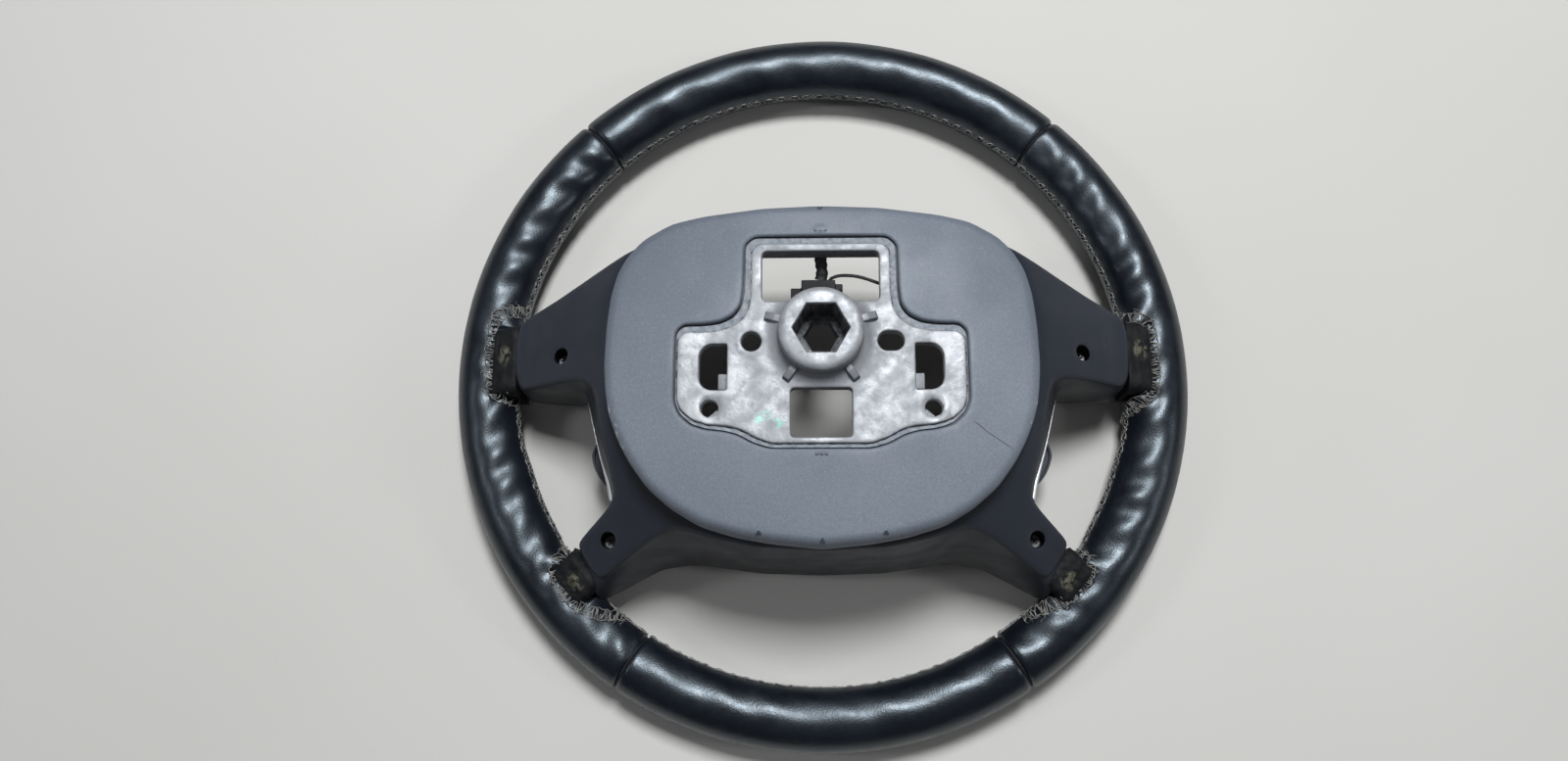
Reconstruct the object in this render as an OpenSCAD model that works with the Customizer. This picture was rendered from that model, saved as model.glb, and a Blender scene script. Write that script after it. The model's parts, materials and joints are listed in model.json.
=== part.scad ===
// Leather-wrapped four-spoke steering wheel without its airbag, lying face down.
// Z = 0 is the plane that the front of the rim rests on, +Z runs towards the column,
// +Y points to 12 o'clock and the Z axis is the column's axis.
// Left (-X) and right (+X) are as seen from the back, which is the side that faces up.

/* [Rim] */
// Outer diameter of the wheel
wheel_d = 380; // [378:0.5:382]
// Radius of the wrapped rim section
section_r = 15.75; // [15.25:0.25:16]
// Thickness of the leather
leather_t = 1.3; // [1:0.1:1.6]
// Radius of the cast core inside the rim
core_r = 5.5; // [5:0.25:6.5]
// Radius of the thread that closes the leather
thread_r = 0.5; // [0.3:0.1:0.6]
// Angle of each upper joint between leather panels, from +X
upper_joint_a = 47.5; // [40:0.5:55]
// Angle of each lower joint between leather panels, below +X
lower_joint_a = 57; // [54:0.5:65]

/* [Hub plate] */
// Height of the hub plate's rear face
plate_z = 101; // [100:0.5:102]
// Thickness of the hub plate
plate_t = 5.5; // [5:0.5:6]
// Height of the rear face of the boss
boss_z = 112; // [110:0.5:114]
// Outer radius of the boss
boss_r = 19.4; // [18.5:0.1:20]
// Distance across the corners of the hexagonal socket
socket_d = 26.2; // [25:0.1:27]
// Distance across the corners of the hexagon that goes right through
through_d = 16; // [14:0.5:18]
// Diameter of the round locating hole and width of the slot
locating_d = 9.2; // [8:0.1:9.6]
// Length of the slot
slot_l = 12.1; // [11:0.1:12.5]
// Diameter of the two lower fixing holes
fixing_d = 8; // [7:0.1:8.4]
// Distance between the lower fixing holes
fixing_pitch = 100.8; // [100:0.1:101.5]

/* [Covers] */
// Height of the four-spoke cover's top over the hub
cover_z = 88; // [87.5:0.25:88.5]
// Height of the four-spoke cover's front edge
cover_edge_z = 20; // [20:0.5:21]
// Wall thickness of the four-spoke cover and the front trims
wall = 2.4; // [2:0.1:2.5]
// Wall thickness of the rear hub cover
hub_wall = 2.6; // [2.2:0.1:2.8]
// Height of the front face of the bezels
front_z = 14; // [13.5:0.25:14]
// Top of the bezels' side walls between the spokes
bezel_wall_z = 45.6; // [40:0.2:46]
// Radius of the screw recesses
recess_r = 3.4; // [3:0.1:3.6]

/* [Switches] */
// Length of each switch window
switch_l = 42; // [40:0.5:42]
// Width of each switch window
switch_w = 32; // [30:0.5:32]
// Clearance around each button
button_gap = 0.4; // [0.3:0.05:0.6]
// Height that the buttons stand out of the bezel
button_proud = 0.8; // [0.4:0.1:1.2]

/* [Hidden] */
$fn = 96;
far = 400;
rim_R = wheel_d / 2 - section_r;
foam_r = section_r - leather_t;
seam_R = rim_R - section_r;
joint_half_a = 0.2;

// Spoke roots: [angle, sideways offset, width, first radius of the foam root]
upper_root = [0, 4.5, 36, 155.2];
lower_root = [-41.4, 0.7, 22, 153.2];
root_margin = 1;
root_top_z = 41;

// Screws: [radius, angle, height of the pad on the arm]
side_screw = [126, -0.45, 51];
low_screw = [135.3, -41.4, 44];
screw_floor = 2;
screw_r = 1.45;
screw_hole_r = 1.5;
tower_r = 5.2;

// Right half of the rear hub cover's outline, from 12 to 6 o'clock
hub_half = [[0, 64], [27, 63], [55, 59.5], [70, 56], [83, 48.5], [90, 41], [95, 32], [98, 20],
            [99.5, 5], [100, -13], [99, -25.5], [97, -36], [92.7, -47.4], [87, -58],
            [78.5, -69.5], [68, -78.5], [55, -86.3], [38, -91.5], [22, -94.3], [0, -96.5]];
// Right half of the four-spoke outline
star_half = [[0, 62.5], [27, 61.5], [55, 58], [70, 54.5], [86, 49], [101, 43], [117, 36],
             [130, 31], [143, 27], [152.5, 22], [154.3, 11], [153.7, -5], [149.5, -14.5],
             [125, -15], [111.5, -17.4], [109, -29], [107, -40], [104.6, -50], [101.2, -61.5],
             [98.5, -72.6], [106, -79.6], [112.6, -85], [119.6, -91.3], [108, -107.5],
             [98, -106], [80, -98.5], [65, -96.5], [48, -97.5], [30, -100], [0, -101.5]];
// Right half of the hub plate's outline
plate_half = [[0, 43.3], [28.5, 43.3], [31.9, 40], [31.9, 20], [32.8, 13], [35.5, 7.5],
              [40.5, 3.6], [47, 1.7], [54, 1.2], [62, 1.2], [65.3, -2], [65.3, -30],
              [63.5, -35], [58, -39.5], [51.5, -41.6], [42, -42.5], [36, -44], [30, -47.5],
              [22.5, -50.3], [0, -50.3]];
// Right half of the opening in the rear hub cover
opening_half = [[0, 47.1], [31, 47.1], [35.4, 43], [35.6, 22], [36.5, 14], [40, 9], [46, 6],
                [54, 5], [63, 5], [66.6, 1.5], [66.9, -31], [64.5, -37], [59, -42],
                [52, -44.2], [43, -45.2], [37, -47], [31, -50.5], [23, -53], [0, -53]];

// Upper and lower lines of an arm as [radius, height], before and after its screw pad
arm_profile_side = [[57, 96], [66, 96], [78, 93], [88, 82], [104, 70], [118, 51], [134, 51],
                    [150, 34], [160, 25], [170, 20], [170, 12], [158, 13], [146, 24],
                    [132, 41], [116, 41], [102, 58], [84, 70], [64, 89], [57, 89]];
arm_profile_low = [[58, 96], [66, 96], [76, 92], [88, 80], [104, 68], [128, 44], [143, 44],
                   [152, 33], [160, 25], [170, 20], [170, 12], [158, 13], [148, 24],
                   [140, 35], [126, 35], [102, 56], [84, 70], [62, 89], [58, 89]];
side_arm_plan = [[57, -30], [66, -32], [80, -14], [92, -9], [170, -8], [170, 12], [92, 15],
                 [78, 14], [66, 1], [57, 1]];
low_arm_half_w = 6;

// Switch pod on the right spoke: centre of its window and heights of its layers
pod_x = 119;
pod_y = 7.5;
pod_base_z = 30;
pod_wall = 1.6;
pod_lip = 1.2;
pod_lip_t = 1.4;
board_z = 26.2;
board_t = 1.6;
mat_z = 23.6;
mat_t = 2.2;
button_back_z = 22.2;
flange_z = 16.6;

// Wiring routes, held by the wheel from end to end
main_route = [[0.3, 31.3, 82.3], [0.8, 35, 83.5], [0.2, 41, 84], [0, 47, 83], [0, 52.4, 81]];
side_route = [[3.2, 50, 80.5], [20, 52, 78], [42, 50.5, 74], [63, 46, 68], [79, 38, 60],
              [91, 27, 50], [99, 16, 43], [103.4, 9.5, 39], [104, 8, 36.8]];
horn_route = [[4.4, 30.8, 83], [6, 32, 83.8], [10.5, 32.8, 84.4], [18, 32, 84.8], [27, 29, 84.6],
              [38, 25, 82], [52, 22.5, 78], [67, 22.5, 68], [82, 18.5, 54], [93, 7, 42],
              [100.5, 1, 34.5], [104, 0.4, 30.9]];
main_wire_r = 2.6;
side_wire_r = 2;
horn_wire_r = 0.85;

function mirrored(half) = concat(half, [for (i = [len(half) - 2 : -1 : 1]) [-half[i][0], half[i][1]]]);
function unit(v) = v / norm(v);
function edge_normal(a, b) = unit([b[1] - a[1], a[0] - b[0]]);
// Moves each side of a clockwise outline inwards by d
function inset(pts, d) = [
    for (i = [0 : len(pts) - 1])
        let (
            n = len(pts),
            before = edge_normal(pts[(i + n - 1) % n], pts[i]),
            after = edge_normal(pts[i], pts[(i + 1) % n])
        )
        pts[i] + d * (before + after) / (1 + before * after)];

hub_outline = mirrored(hub_half);
star_outline = mirrored(star_half);
plate_outline = mirrored(plate_half);
opening_outline = mirrored(opening_half);

// Catmull-Rom points along a route, with k steps between two of its points
function route_point(p, i, t) =
    let (
        n = len(p) - 1,
        a = p[max(i - 1, 0)],
        b = p[i],
        c = p[min(i + 1, n)],
        d = p[min(i + 2, n)]
    )
    0.5 * (2 * b + (c - a) * t + (2 * a - 5 * b + 4 * c - d) * t * t + (3 * b - a - 3 * c + d) * t * t * t);
function smooth_route(p, k) = concat(
    [for (i = [0 : len(p) - 2], s = [0 : k - 1]) route_point(p, i, s / k)],
    [p[len(p) - 1]]);
function tangent(p, i) = unit(p[min(i + 1, len(p) - 1)] - p[max(i - 1, 0)]);

module tube(route, r, sides = 8, steps = 2) {
    p = smooth_route(route, steps);
    n = len(p);
    up = [0.31, 0.17, 1];
    rings = [
        for (i = [0 : n - 1], s = [0 : sides - 1])
            let (
                t = tangent(p, i),
                u = unit(cross(t, up)),
                v = cross(t, u),
                a = 360 * s / sides
            )
            p[i] + r * (cos(a) * u + sin(a) * v)];
    quads = [
        for (i = [0 : n - 2], s = [0 : sides - 1])
            let (e = (s + 1) % sides)
            [i * sides + s, i * sides + e, (i + 1) * sides + e, (i + 1) * sides + s]];
    first = [for (s = [sides - 1 : -1 : 0]) s];
    last = [for (s = [0 : sides - 1]) (n - 1) * sides + s];
    polyhedron(rings, concat(quads, [first, last]));
}

// Block between two heights from an outline
module slab(outline, z0, z1) {
    translate([0, 0, z0])
        linear_extrude(z1 - z0)
            polygon(outline);
}

// Box from its low corner to its high corner
module block(lo, hi) {
    translate(lo)
        cube(hi - lo);
}

// Part of a torus along the rim, between two angles
module rim_arc(r, a0, a1) {
    rotate([0, 0, a0])
        rotate_extrude(angle = a1 - a0)
            translate([rim_R, section_r])
                circle(r);
}

module rim_torus(r) {
    rotate_extrude()
        translate([rim_R, section_r])
            circle(r);
}

// Side profile of an arm, extruded across its width
module radial_profile(profile, y0, y1) {
    translate([0, y1, 0])
        rotate([90, 0, 0])
            linear_extrude(y1 - y0)
                polygon(profile);
}

// Runs its children once on each side of the wheel
module both_sides() {
    children();
    mirror([1, 0, 0])
        children();
}

module at_screws() {
    both_sides() {
        for (s = [side_screw, low_screw])
            rotate([0, 0, s[1]])
                translate([s[0], 0, s[2]])
                    children();
    }
}

module side_arm() {
    intersection() {
        slab(side_arm_plan, 0, boss_z);
        radial_profile(arm_profile_side, -60, 60);
    }
}

module low_arm() {
    rotate([0, 0, lower_root[0]])
        radial_profile(arm_profile_low, -low_arm_half_w, low_arm_half_w);
}

// Window with a straight inner side and a rounded outer side
module d_window() {
    corner_r = 6;
    x_in = 42.6;
    x_out = 55.4;
    y_lo = -26;
    y_hi = -4.5;
    z0 = 80;
    translate([0, 0, z0]) {
        linear_extrude(30)
            union() {
                translate([x_in, y_lo])
                    square([x_out - corner_r - x_in, y_hi - y_lo]);
                translate([x_out - corner_r, y_lo + corner_r])
                    square([corner_r, y_hi - y_lo - 2 * corner_r]);
                for (y = [y_lo + corner_r, y_hi - corner_r])
                    translate([x_out - corner_r, y])
                        circle(corner_r);
            }
    }
}

// Small cast catch that reaches into the D window from its inner side
module window_catch() {
    block([40.8, -24, 89.5], [42.6, -16.5, plate_z - plate_t]);
    block([40.8, -24, 89.5], [47.1, -16.5, 91.5]);
}

module plate_holes() {
    translate([0, 0, 80]) {
        translate([-31.7, -3.5, 0])
            cylinder(h = 30, d = locating_d);
        for (dx = [-0.5, 0.5])
            translate([31.8 + dx * (slot_l - locating_d), -3.5, 0])
                cylinder(h = 30, d = locating_d);
        translate([31.8 - (slot_l - locating_d) / 2, -3.5 - locating_d / 2, 0])
            cube([slot_l - locating_d, locating_d, 30]);
        for (side = [-1, 1])
            translate([side * fixing_pitch / 2, -34.4, 0])
                cylinder(h = 30, d = fixing_d);
        translate([-13.9, -47.7, 0])
            cube([27.8, 22.6, 30]);
        translate([-27, 15.4, 0])
            cube([54, 24.1, 30]);
    }
    both_sides()
        d_window();
}

// Boss with a rounded rear edge and a flared foot
module boss() {
    front_z0 = 88;
    rotate_extrude()
        polygon([[0, front_z0], [16.5, front_z0], [17, front_z0 + 0.5], [17, plate_z - 1],
                 [23.5, plate_z - 0.2], [21, plate_z + 1.4], [boss_r, plate_z + 3.6],
                 [boss_r, boss_z - 1.8], [boss_r - 0.6, boss_z - 0.6], [boss_r - 2, boss_z],
                 [0, boss_z]]);
    for (a = [18.5, 161.5, -53, -127])
        rotate([0, 0, a])
            translate([boss_r - 2, -1.15, plate_z - 1])
                cube([7.4, 2.3, 3.6]);
}

module socket() {
    ledge_z = 96;
    translate([0, 0, ledge_z])
        cylinder(h = 30, d = socket_d, $fn = 6);
    translate([0, 0, 80])
        cylinder(h = 30, d = through_d, $fn = 6);
}

module armature() {
    flange_z0 = 89;
    color("gainsboro")
        difference() {
            union() {
                difference() {
                    union() {
                        slab(plate_outline, plate_z - plate_t, plate_z);
                        difference() {
                            slab(plate_outline, flange_z0, plate_z - plate_t + 0.5);
                            slab(inset(plate_outline, 3), flange_z0 - 1, plate_z);
                        }
                        both_sides() {
                            side_arm();
                            low_arm();
                        }
                    }
                    plate_holes();
                }
                boss();
                both_sides()
                    window_catch();
            }
            socket();
            rim_torus(core_r);
            at_screws()
                translate([0, 0, -14])
                    cylinder(h = 15, r = screw_hole_r);
        }
}

// Ring of the casting that the four arms carry inside the rim
module rim_core() {
    color("gainsboro")
        rim_torus(core_r);
}

// Foam block that carries the rim's cover onto a spoke
module foam_root(root) {
    r0 = root[3];
    rotate([0, 0, root[0]])
        radial_profile([[r0, 10], [r0, root_top_z], [160, 38.5], [169.5, 29.5], [169.5, 10]],
                       root[1] - root[2] / 2, root[1] + root[2] / 2);
}

// Space that a spoke root takes out of the leather
module root_cut(root) {
    rotate([0, 0, root[0]])
        block([140, root[1] - root[2] / 2 - root_margin, 7],
              [171.5, root[1] + root[2] / 2 + root_margin, 60]);
}

module rim_foam() {
    color("dimgray")
        difference() {
            union() {
                rim_torus(foam_r);
                both_sides() {
                    foam_root(upper_root);
                    foam_root(lower_root);
                }
            }
            rim_torus(core_r);
            both_sides() {
                side_arm();
                low_arm();
            }
        }
}

module leather_panel(a0, a1) {
    color([0.11, 0.12, 0.14])
        difference() {
            rim_arc(section_r, a0 + joint_half_a, a1 - joint_half_a);
            rim_torus(foam_r);
            rotate_extrude()
                translate([seam_R, section_r])
                    circle(thread_r + 0.05);
            both_sides() {
                root_cut(upper_root);
                root_cut(lower_root);
            }
        }
}

module leather_top() {
    leather_panel(upper_joint_a, 180 - upper_joint_a);
}

module leather_left() {
    leather_panel(180 - upper_joint_a, 180 + lower_joint_a);
}

module leather_right() {
    leather_panel(-lower_joint_a, upper_joint_a);
}

module leather_bottom() {
    leather_panel(180 + lower_joint_a, 360 - lower_joint_a);
}

// Half angle of a spoke root's gap in the closing seam, and its middle
function root_half_a(root) = asin((root[2] / 2 + root_margin + 1) / seam_R);
function root_mid_a(root) = root[0] + asin(root[1] / seam_R);

module seam_thread() {
    up = root_mid_a(upper_root);
    up_half = root_half_a(upper_root);
    low = root_mid_a(lower_root);
    low_half = root_half_a(lower_root);
    gap = 2 * joint_half_a;
    side_arcs = [[up + up_half, upper_joint_a - gap], [low + low_half, up - up_half],
                 [-lower_joint_a + gap, low - low_half]];
    color("gray")
        for (side = [0, 1])
            mirror([side, 0, 0]) {
                for (arc = side_arcs)
                    seam_arc(arc[0], arc[1]);
            }
    color("gray")
        seam_arc(upper_joint_a + gap, 180 - upper_joint_a - gap);
    color("gray")
        seam_arc(180 + lower_joint_a + gap, 360 - lower_joint_a - gap);
}

module seam_arc(a0, a1) {
    rotate([0, 0, a0])
        rotate_extrude(angle = a1 - a0)
            translate([seam_R, section_r])
                circle(thread_r);
}

// Band of lacing that lies on the leather along three sides of a spoke root
module lacing(root) {
    lay = 0.8;
    gap = 0.1;
    leg_a = 2;
    crest_in = 1.8;
    crest_out = 2;
    mid = root_mid_a(root);
    half = root_half_a(root);
    color("gray")
        difference() {
            rotate([0, 0, mid - half - leg_a])
                rotate_extrude(angle = 2 * (half + leg_a))
                    translate([rim_R, section_r])
                        intersection() {
                            difference() {
                                circle(section_r + gap + lay);
                                circle(section_r + gap);
                            }
                            translate([-section_r - 2, 1])
                                square([section_r + 2 + crest_out, section_r + 2]);
                        }
            rotate([0, 0, mid - half])
                rotate_extrude(angle = 2 * half)
                    translate([rim_R - section_r - 3, 0])
                        square([section_r + 3 - crest_in, 3 * section_r]);
        }
}

module lacing_upper_left() {
    mirror([1, 0, 0])
        lacing(upper_root);
}

module lacing_upper_right() {
    lacing(upper_root);
}

module lacing_lower_left() {
    mirror([1, 0, 0])
        lacing(lower_root);
}

module lacing_lower_right() {
    lacing(lower_root);
}

// Space under the four-spoke cover's top surface, lowered by d
module under_dome(d) {
    top = cover_z - d;
    slope_r0 = 100;
    slope_r1 = 152;
    fall = 44;
    rotate_extrude()
        polygon([[0, 0], [0, top], [slope_r0, top], [slope_r1, top - fall],
                 [slope_r1 + 12, top - fall - 4], [slope_r1 + 12, 0]]);
}

module rear_spoke_cover() {
    hub_ledge = 8;
    open_half = 59.5;
    color([0.2, 0.2, 0.22])
        difference() {
            union() {
                difference() {
                    intersection() {
                        slab(star_outline, cover_edge_z, cover_z);
                        under_dome(0);
                    }
                    intersection() {
                        slab(inset(star_outline, wall), 0, cover_z);
                        under_dome(wall);
                    }
                }
                intersection() {
                    at_screws()
                        cylinder(h = 60, r = tower_r);
                    under_dome(0);
                }
            }
            slab(inset(hub_outline, hub_ledge), 60, 100);
            at_screws() {
                translate([0, 0, screw_floor])
                    cylinder(h = 60, r = recess_r);
                translate([0, 0, -1])
                    cylinder(h = 10, r = screw_r + 0.2);
            }
            block([-open_half, 45, 0], [open_half, 70, bezel_wall_z]);
            both_sides() {
                block([94, -71, 0], [125, -19, 46]);
                block([146, -12, 0], [160, 19, 39.5]);
                rotate([0, 0, lower_root[0]])
                    block([143, -6.7, 0], [160, 7.4, 39.5]);
            }
        }
}

module rear_hub_cover() {
    dome_r = 700;
    dome_top = 104;
    dome_y = -16;
    rim_top = 93;
    crown_in = 4;
    lip_z = 97.4;
    lip_gap = 0.4;
    color([0.5, 0.53, 0.58])
        union() {
            difference() {
                union() {
                    slab(hub_outline, cover_z, rim_top);
                    intersection() {
                        slab(inset(hub_outline, crown_in), rim_top - 0.5, dome_top);
                        translate([0, dome_y, dome_top - dome_r])
                            sphere(dome_r, $fn = 200);
                    }
                }
                intersection() {
                    slab(inset(hub_outline, crown_in + hub_wall), cover_z - 1, dome_top);
                    translate([0, dome_y, dome_top - dome_r - hub_wall])
                        sphere(dome_r, $fn = 200);
                }
                slab(opening_outline, cover_z - 1, dome_top + 1);
            }
            difference() {
                slab(inset(opening_outline, -1.2), lip_z, plate_z - 0.8);
                slab(inset(plate_outline, -lip_gap), lip_z - 1, plate_z + 1);
            }
        }
}

module cover_screws() {
    head_r = 3;
    head_h = 2.2;
    shank_l = 9;
    color("silver")
        at_screws()
            difference() {
                union() {
                    translate([0, 0, screw_floor])
                        cylinder(h = head_h, r = head_r);
                    translate([0, 0, screw_floor - shank_l])
                        cylinder(h = shank_l + 1, r = screw_r);
                }
                for (a = [0, 90])
                    rotate([0, 0, a])
                        translate([-2, -0.4, screw_floor + head_h - 1.3])
                            cube([4, 0.8, 2]);
            }
}

// Front trim: a face with a turned-up edge that follows the four-spoke outline
module front_shell(edge_z) {
    face_t = 2.5;
    difference() {
        slab(star_outline, front_z, edge_z);
        slab(inset(star_outline, wall), front_z + face_t, edge_z + 1);
        slab(inset(hub_outline, 13), 0, edge_z + 1);
    }
}

module bezel() {
    x0 = 60;
    y0 = -71;
    y1 = 60;
    split = 0.2;
    color("silver")
        difference() {
            intersection() {
                front_shell(bezel_wall_z);
                block([x0, y0, 0], [far, y1, 60]);
            }
            block([x0 - 1, -19.2, cover_edge_z - split], [far, y1 + 1, 60]);
            block([146, -10.5, front_z + 2.2], [160, 15, 60]);
            block([x0 - 1, y0 - 1, cover_edge_z - split], [94, y1 + 1, 60]);
            translate([pod_x - switch_l / 2, pod_y - switch_w / 2, 0])
                cube([switch_l, switch_w, 60]);
        }
}

module bezel_right() {
    bezel();
}

module bezel_left() {
    mirror([1, 0, 0])
        bezel();
}

module lower_front_trim() {
    color([0.2, 0.2, 0.22])
        intersection() {
            front_shell(cover_edge_z - 0.2);
            block([-160, -130, 0], [160, -71.4, 60]);
        }
}

// Box of a pod's plan size, moved in by d on all four sides
module pod_box(d, z0, z1) {
    translate([pod_x - switch_l / 2 + d, pod_y - switch_w / 2 + d, z0])
        cube([switch_l - 2 * d, switch_w - 2 * d, z1 - z0]);
}

module switch_housing() {
    color([0.15, 0.15, 0.16])
        difference() {
            pod_box(0.3, front_z + 0.4, pod_base_z);
            pod_box(0.3 + pod_wall, front_z + 0.4 + pod_lip_t, pod_base_z - 1.6);
            pod_box(0.3 + pod_wall + pod_lip, 0, front_z + 3);
        }
}

module switch_board() {
    color("seagreen")
        pod_box(0.3 + pod_wall + 0.1, board_z, board_z + board_t);
}

module switch_mat() {
    color("darkslategray")
        pod_box(0.3 + pod_wall + 0.1, mat_z, mat_z + mat_t);
}

// One of four buttons: sx and sy say which quarter of the pod it fills
module button(sx, sy) {
    half_l = switch_l / 2 - 0.3 - pod_wall - button_gap;
    half_w = switch_w / 2 - 0.3 - pod_wall - button_gap;
    inner = button_gap / 2;
    cap_l = half_l - pod_lip - inner;
    cap_w = half_w - pod_lip - inner;
    color([0.17, 0.17, 0.18])
        translate([pod_x, pod_y, 0])
            mirror([sx < 0 ? 1 : 0, 0, 0])
                mirror([0, sy < 0 ? 1 : 0, 0])
                    union() {
                        translate([inner, inner, flange_z])
                            cube([half_l - inner, half_w - inner, button_back_z - flange_z]);
                        translate([inner, inner, front_z - button_proud])
                            cube([cap_l, cap_w, flange_z - front_z + button_proud + 0.5]);
                    }
}

module switch_housing_right() {
    switch_housing();
}

module switch_housing_left() {
    mirror([1, 0, 0])
        switch_housing();
}

module switch_board_right() {
    switch_board();
}

module switch_board_left() {
    mirror([1, 0, 0])
        switch_board();
}

module switch_mat_right() {
    switch_mat();
}

module switch_mat_left() {
    mirror([1, 0, 0])
        switch_mat();
}

module speed_up_button() {
    button(1, 1);
}

module speed_down_button() {
    button(1, -1);
}

module resume_button() {
    button(-1, 1);
}

module cancel_button() {
    button(-1, -1);
}

module volume_up_button() {
    mirror([1, 0, 0])
        button(1, 1);
}

module volume_down_button() {
    mirror([1, 0, 0])
        button(1, -1);
}

module track_next_button() {
    mirror([1, 0, 0])
        button(-1, 1);
}

module track_back_button() {
    mirror([1, 0, 0])
        button(-1, -1);
}

module switch_plug() {
    color([0.1, 0.1, 0.11])
        block([99, 4, pod_base_z], [109, 12, 36]);
}

module switch_plug_right() {
    switch_plug();
}

module switch_plug_left() {
    mirror([1, 0, 0])
        switch_plug();
}

module harness_main() {
    color([0.08, 0.08, 0.09])
        tube(main_route, main_wire_r, 10);
}

module harness_right() {
    color([0.08, 0.08, 0.09])
        tube(side_route, side_wire_r);
}

module harness_left() {
    color([0.08, 0.08, 0.09])
        mirror([1, 0, 0])
            tube(side_route, side_wire_r);
}

module horn_lead() {
    color([0.08, 0.08, 0.09])
        tube(horn_route, horn_wire_r);
}

module loom_connector() {
    color([0.1, 0.1, 0.11])
        difference() {
            union() {
                block([-9, 12, 75], [7, 30, 87]);
                block([-14, 21, 79], [-8, 26.5, 85]);
                block([6, 25, 79], [10.5, 28.5, 85]);
            }
            for (x = [-6.5, -1, 4.5])
                block([x - 1.6, 10, 77.5], [x + 1.6, 22, 82]);
        }
}

module connector_latch() {
    color([0.12, 0.12, 0.13])
        union() {
            block([-6.5, 13, 72.6], [4.5, 26, 75]);
            block([-6.5, 11, 72.6], [4.5, 13, 75]);
            block([-6.5, 11, 74.5], [4.5, 11.9, 77]);
        }
}

armature();
rim_core();
rim_foam();
leather_top();
leather_left();
leather_right();
leather_bottom();
seam_thread();
lacing_upper_left();
lacing_upper_right();
lacing_lower_left();
lacing_lower_right();
rear_spoke_cover();
rear_hub_cover();
cover_screws();
bezel_left();
bezel_right();
lower_front_trim();
switch_housing_left();
switch_housing_right();
switch_board_left();
switch_board_right();
switch_mat_left();
switch_mat_right();
speed_up_button();
speed_down_button();
resume_button();
cancel_button();
volume_up_button();
volume_down_button();
track_next_button();
track_back_button();
switch_plug_left();
switch_plug_right();
harness_main();
harness_left();
harness_right();
horn_lead();
loom_connector();
connector_latch();
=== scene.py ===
import json
import math
import random

import bmesh
import bpy
import numpy as np
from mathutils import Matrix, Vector
from mathutils.geometry import delaunay_2d_cdt

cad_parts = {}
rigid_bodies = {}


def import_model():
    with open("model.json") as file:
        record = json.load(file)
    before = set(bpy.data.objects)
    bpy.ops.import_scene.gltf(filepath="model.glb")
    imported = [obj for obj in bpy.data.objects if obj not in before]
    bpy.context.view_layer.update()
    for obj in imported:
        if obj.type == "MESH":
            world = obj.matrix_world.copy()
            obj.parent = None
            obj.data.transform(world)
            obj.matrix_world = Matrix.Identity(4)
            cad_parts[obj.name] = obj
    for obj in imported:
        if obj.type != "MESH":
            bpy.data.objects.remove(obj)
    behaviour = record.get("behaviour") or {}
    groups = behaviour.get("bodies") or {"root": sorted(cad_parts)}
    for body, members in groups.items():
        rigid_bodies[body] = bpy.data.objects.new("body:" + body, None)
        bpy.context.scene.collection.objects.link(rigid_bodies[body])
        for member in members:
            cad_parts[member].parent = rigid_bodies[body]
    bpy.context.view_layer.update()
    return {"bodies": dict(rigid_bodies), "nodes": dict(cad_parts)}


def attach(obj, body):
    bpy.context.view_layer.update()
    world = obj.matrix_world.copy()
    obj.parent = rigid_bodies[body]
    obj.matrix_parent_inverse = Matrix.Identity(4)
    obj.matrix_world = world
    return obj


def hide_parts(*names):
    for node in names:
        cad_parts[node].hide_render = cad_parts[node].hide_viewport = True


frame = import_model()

MM = 0.001
RIM_R, SEC_R = 174.25, 15.75
FOAM_R = 14.0
UPPER_A, LOWER_A = 47.5, 57.0
UPPER_ROOT = (0.0, 4.5, 36.0)
LOWER_ROOT = (-41.4, 0.7, 22.0)
PLATE_Z, BOSS_Z, BOSS_R = 101.0, 112.0, 19.4
rad = math.radians


# ---------------------------------------------------------------- camera, light and floor

def make_camera():
    data = bpy.data.cameras.new("camera")
    data.sensor_width = 36
    data.lens = 27.05
    data.clip_start, data.clip_end = 0.01, 50
    cam = bpy.data.objects.new("camera", data)
    cam.location = (-0.0035, -0.1386, 0.6183)
    cam.rotation_euler = (rad(12.72), rad(1.47), 0)
    bpy.context.scene.collection.objects.link(cam)
    bpy.context.scene.camera = cam


def area_light(name, place, target, size, power, colour):
    data = bpy.data.lights.new(name, "AREA")
    data.shape = "RECTANGLE"
    data.size, data.size_y = size
    data.energy = power
    data.color = colour
    lamp = bpy.data.objects.new(name, data)
    lamp.location = place
    lamp.rotation_euler = (Vector(target) - Vector(place)).to_track_quat("-Z", "Y").to_euler()
    bpy.context.scene.collection.objects.link(lamp)


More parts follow.
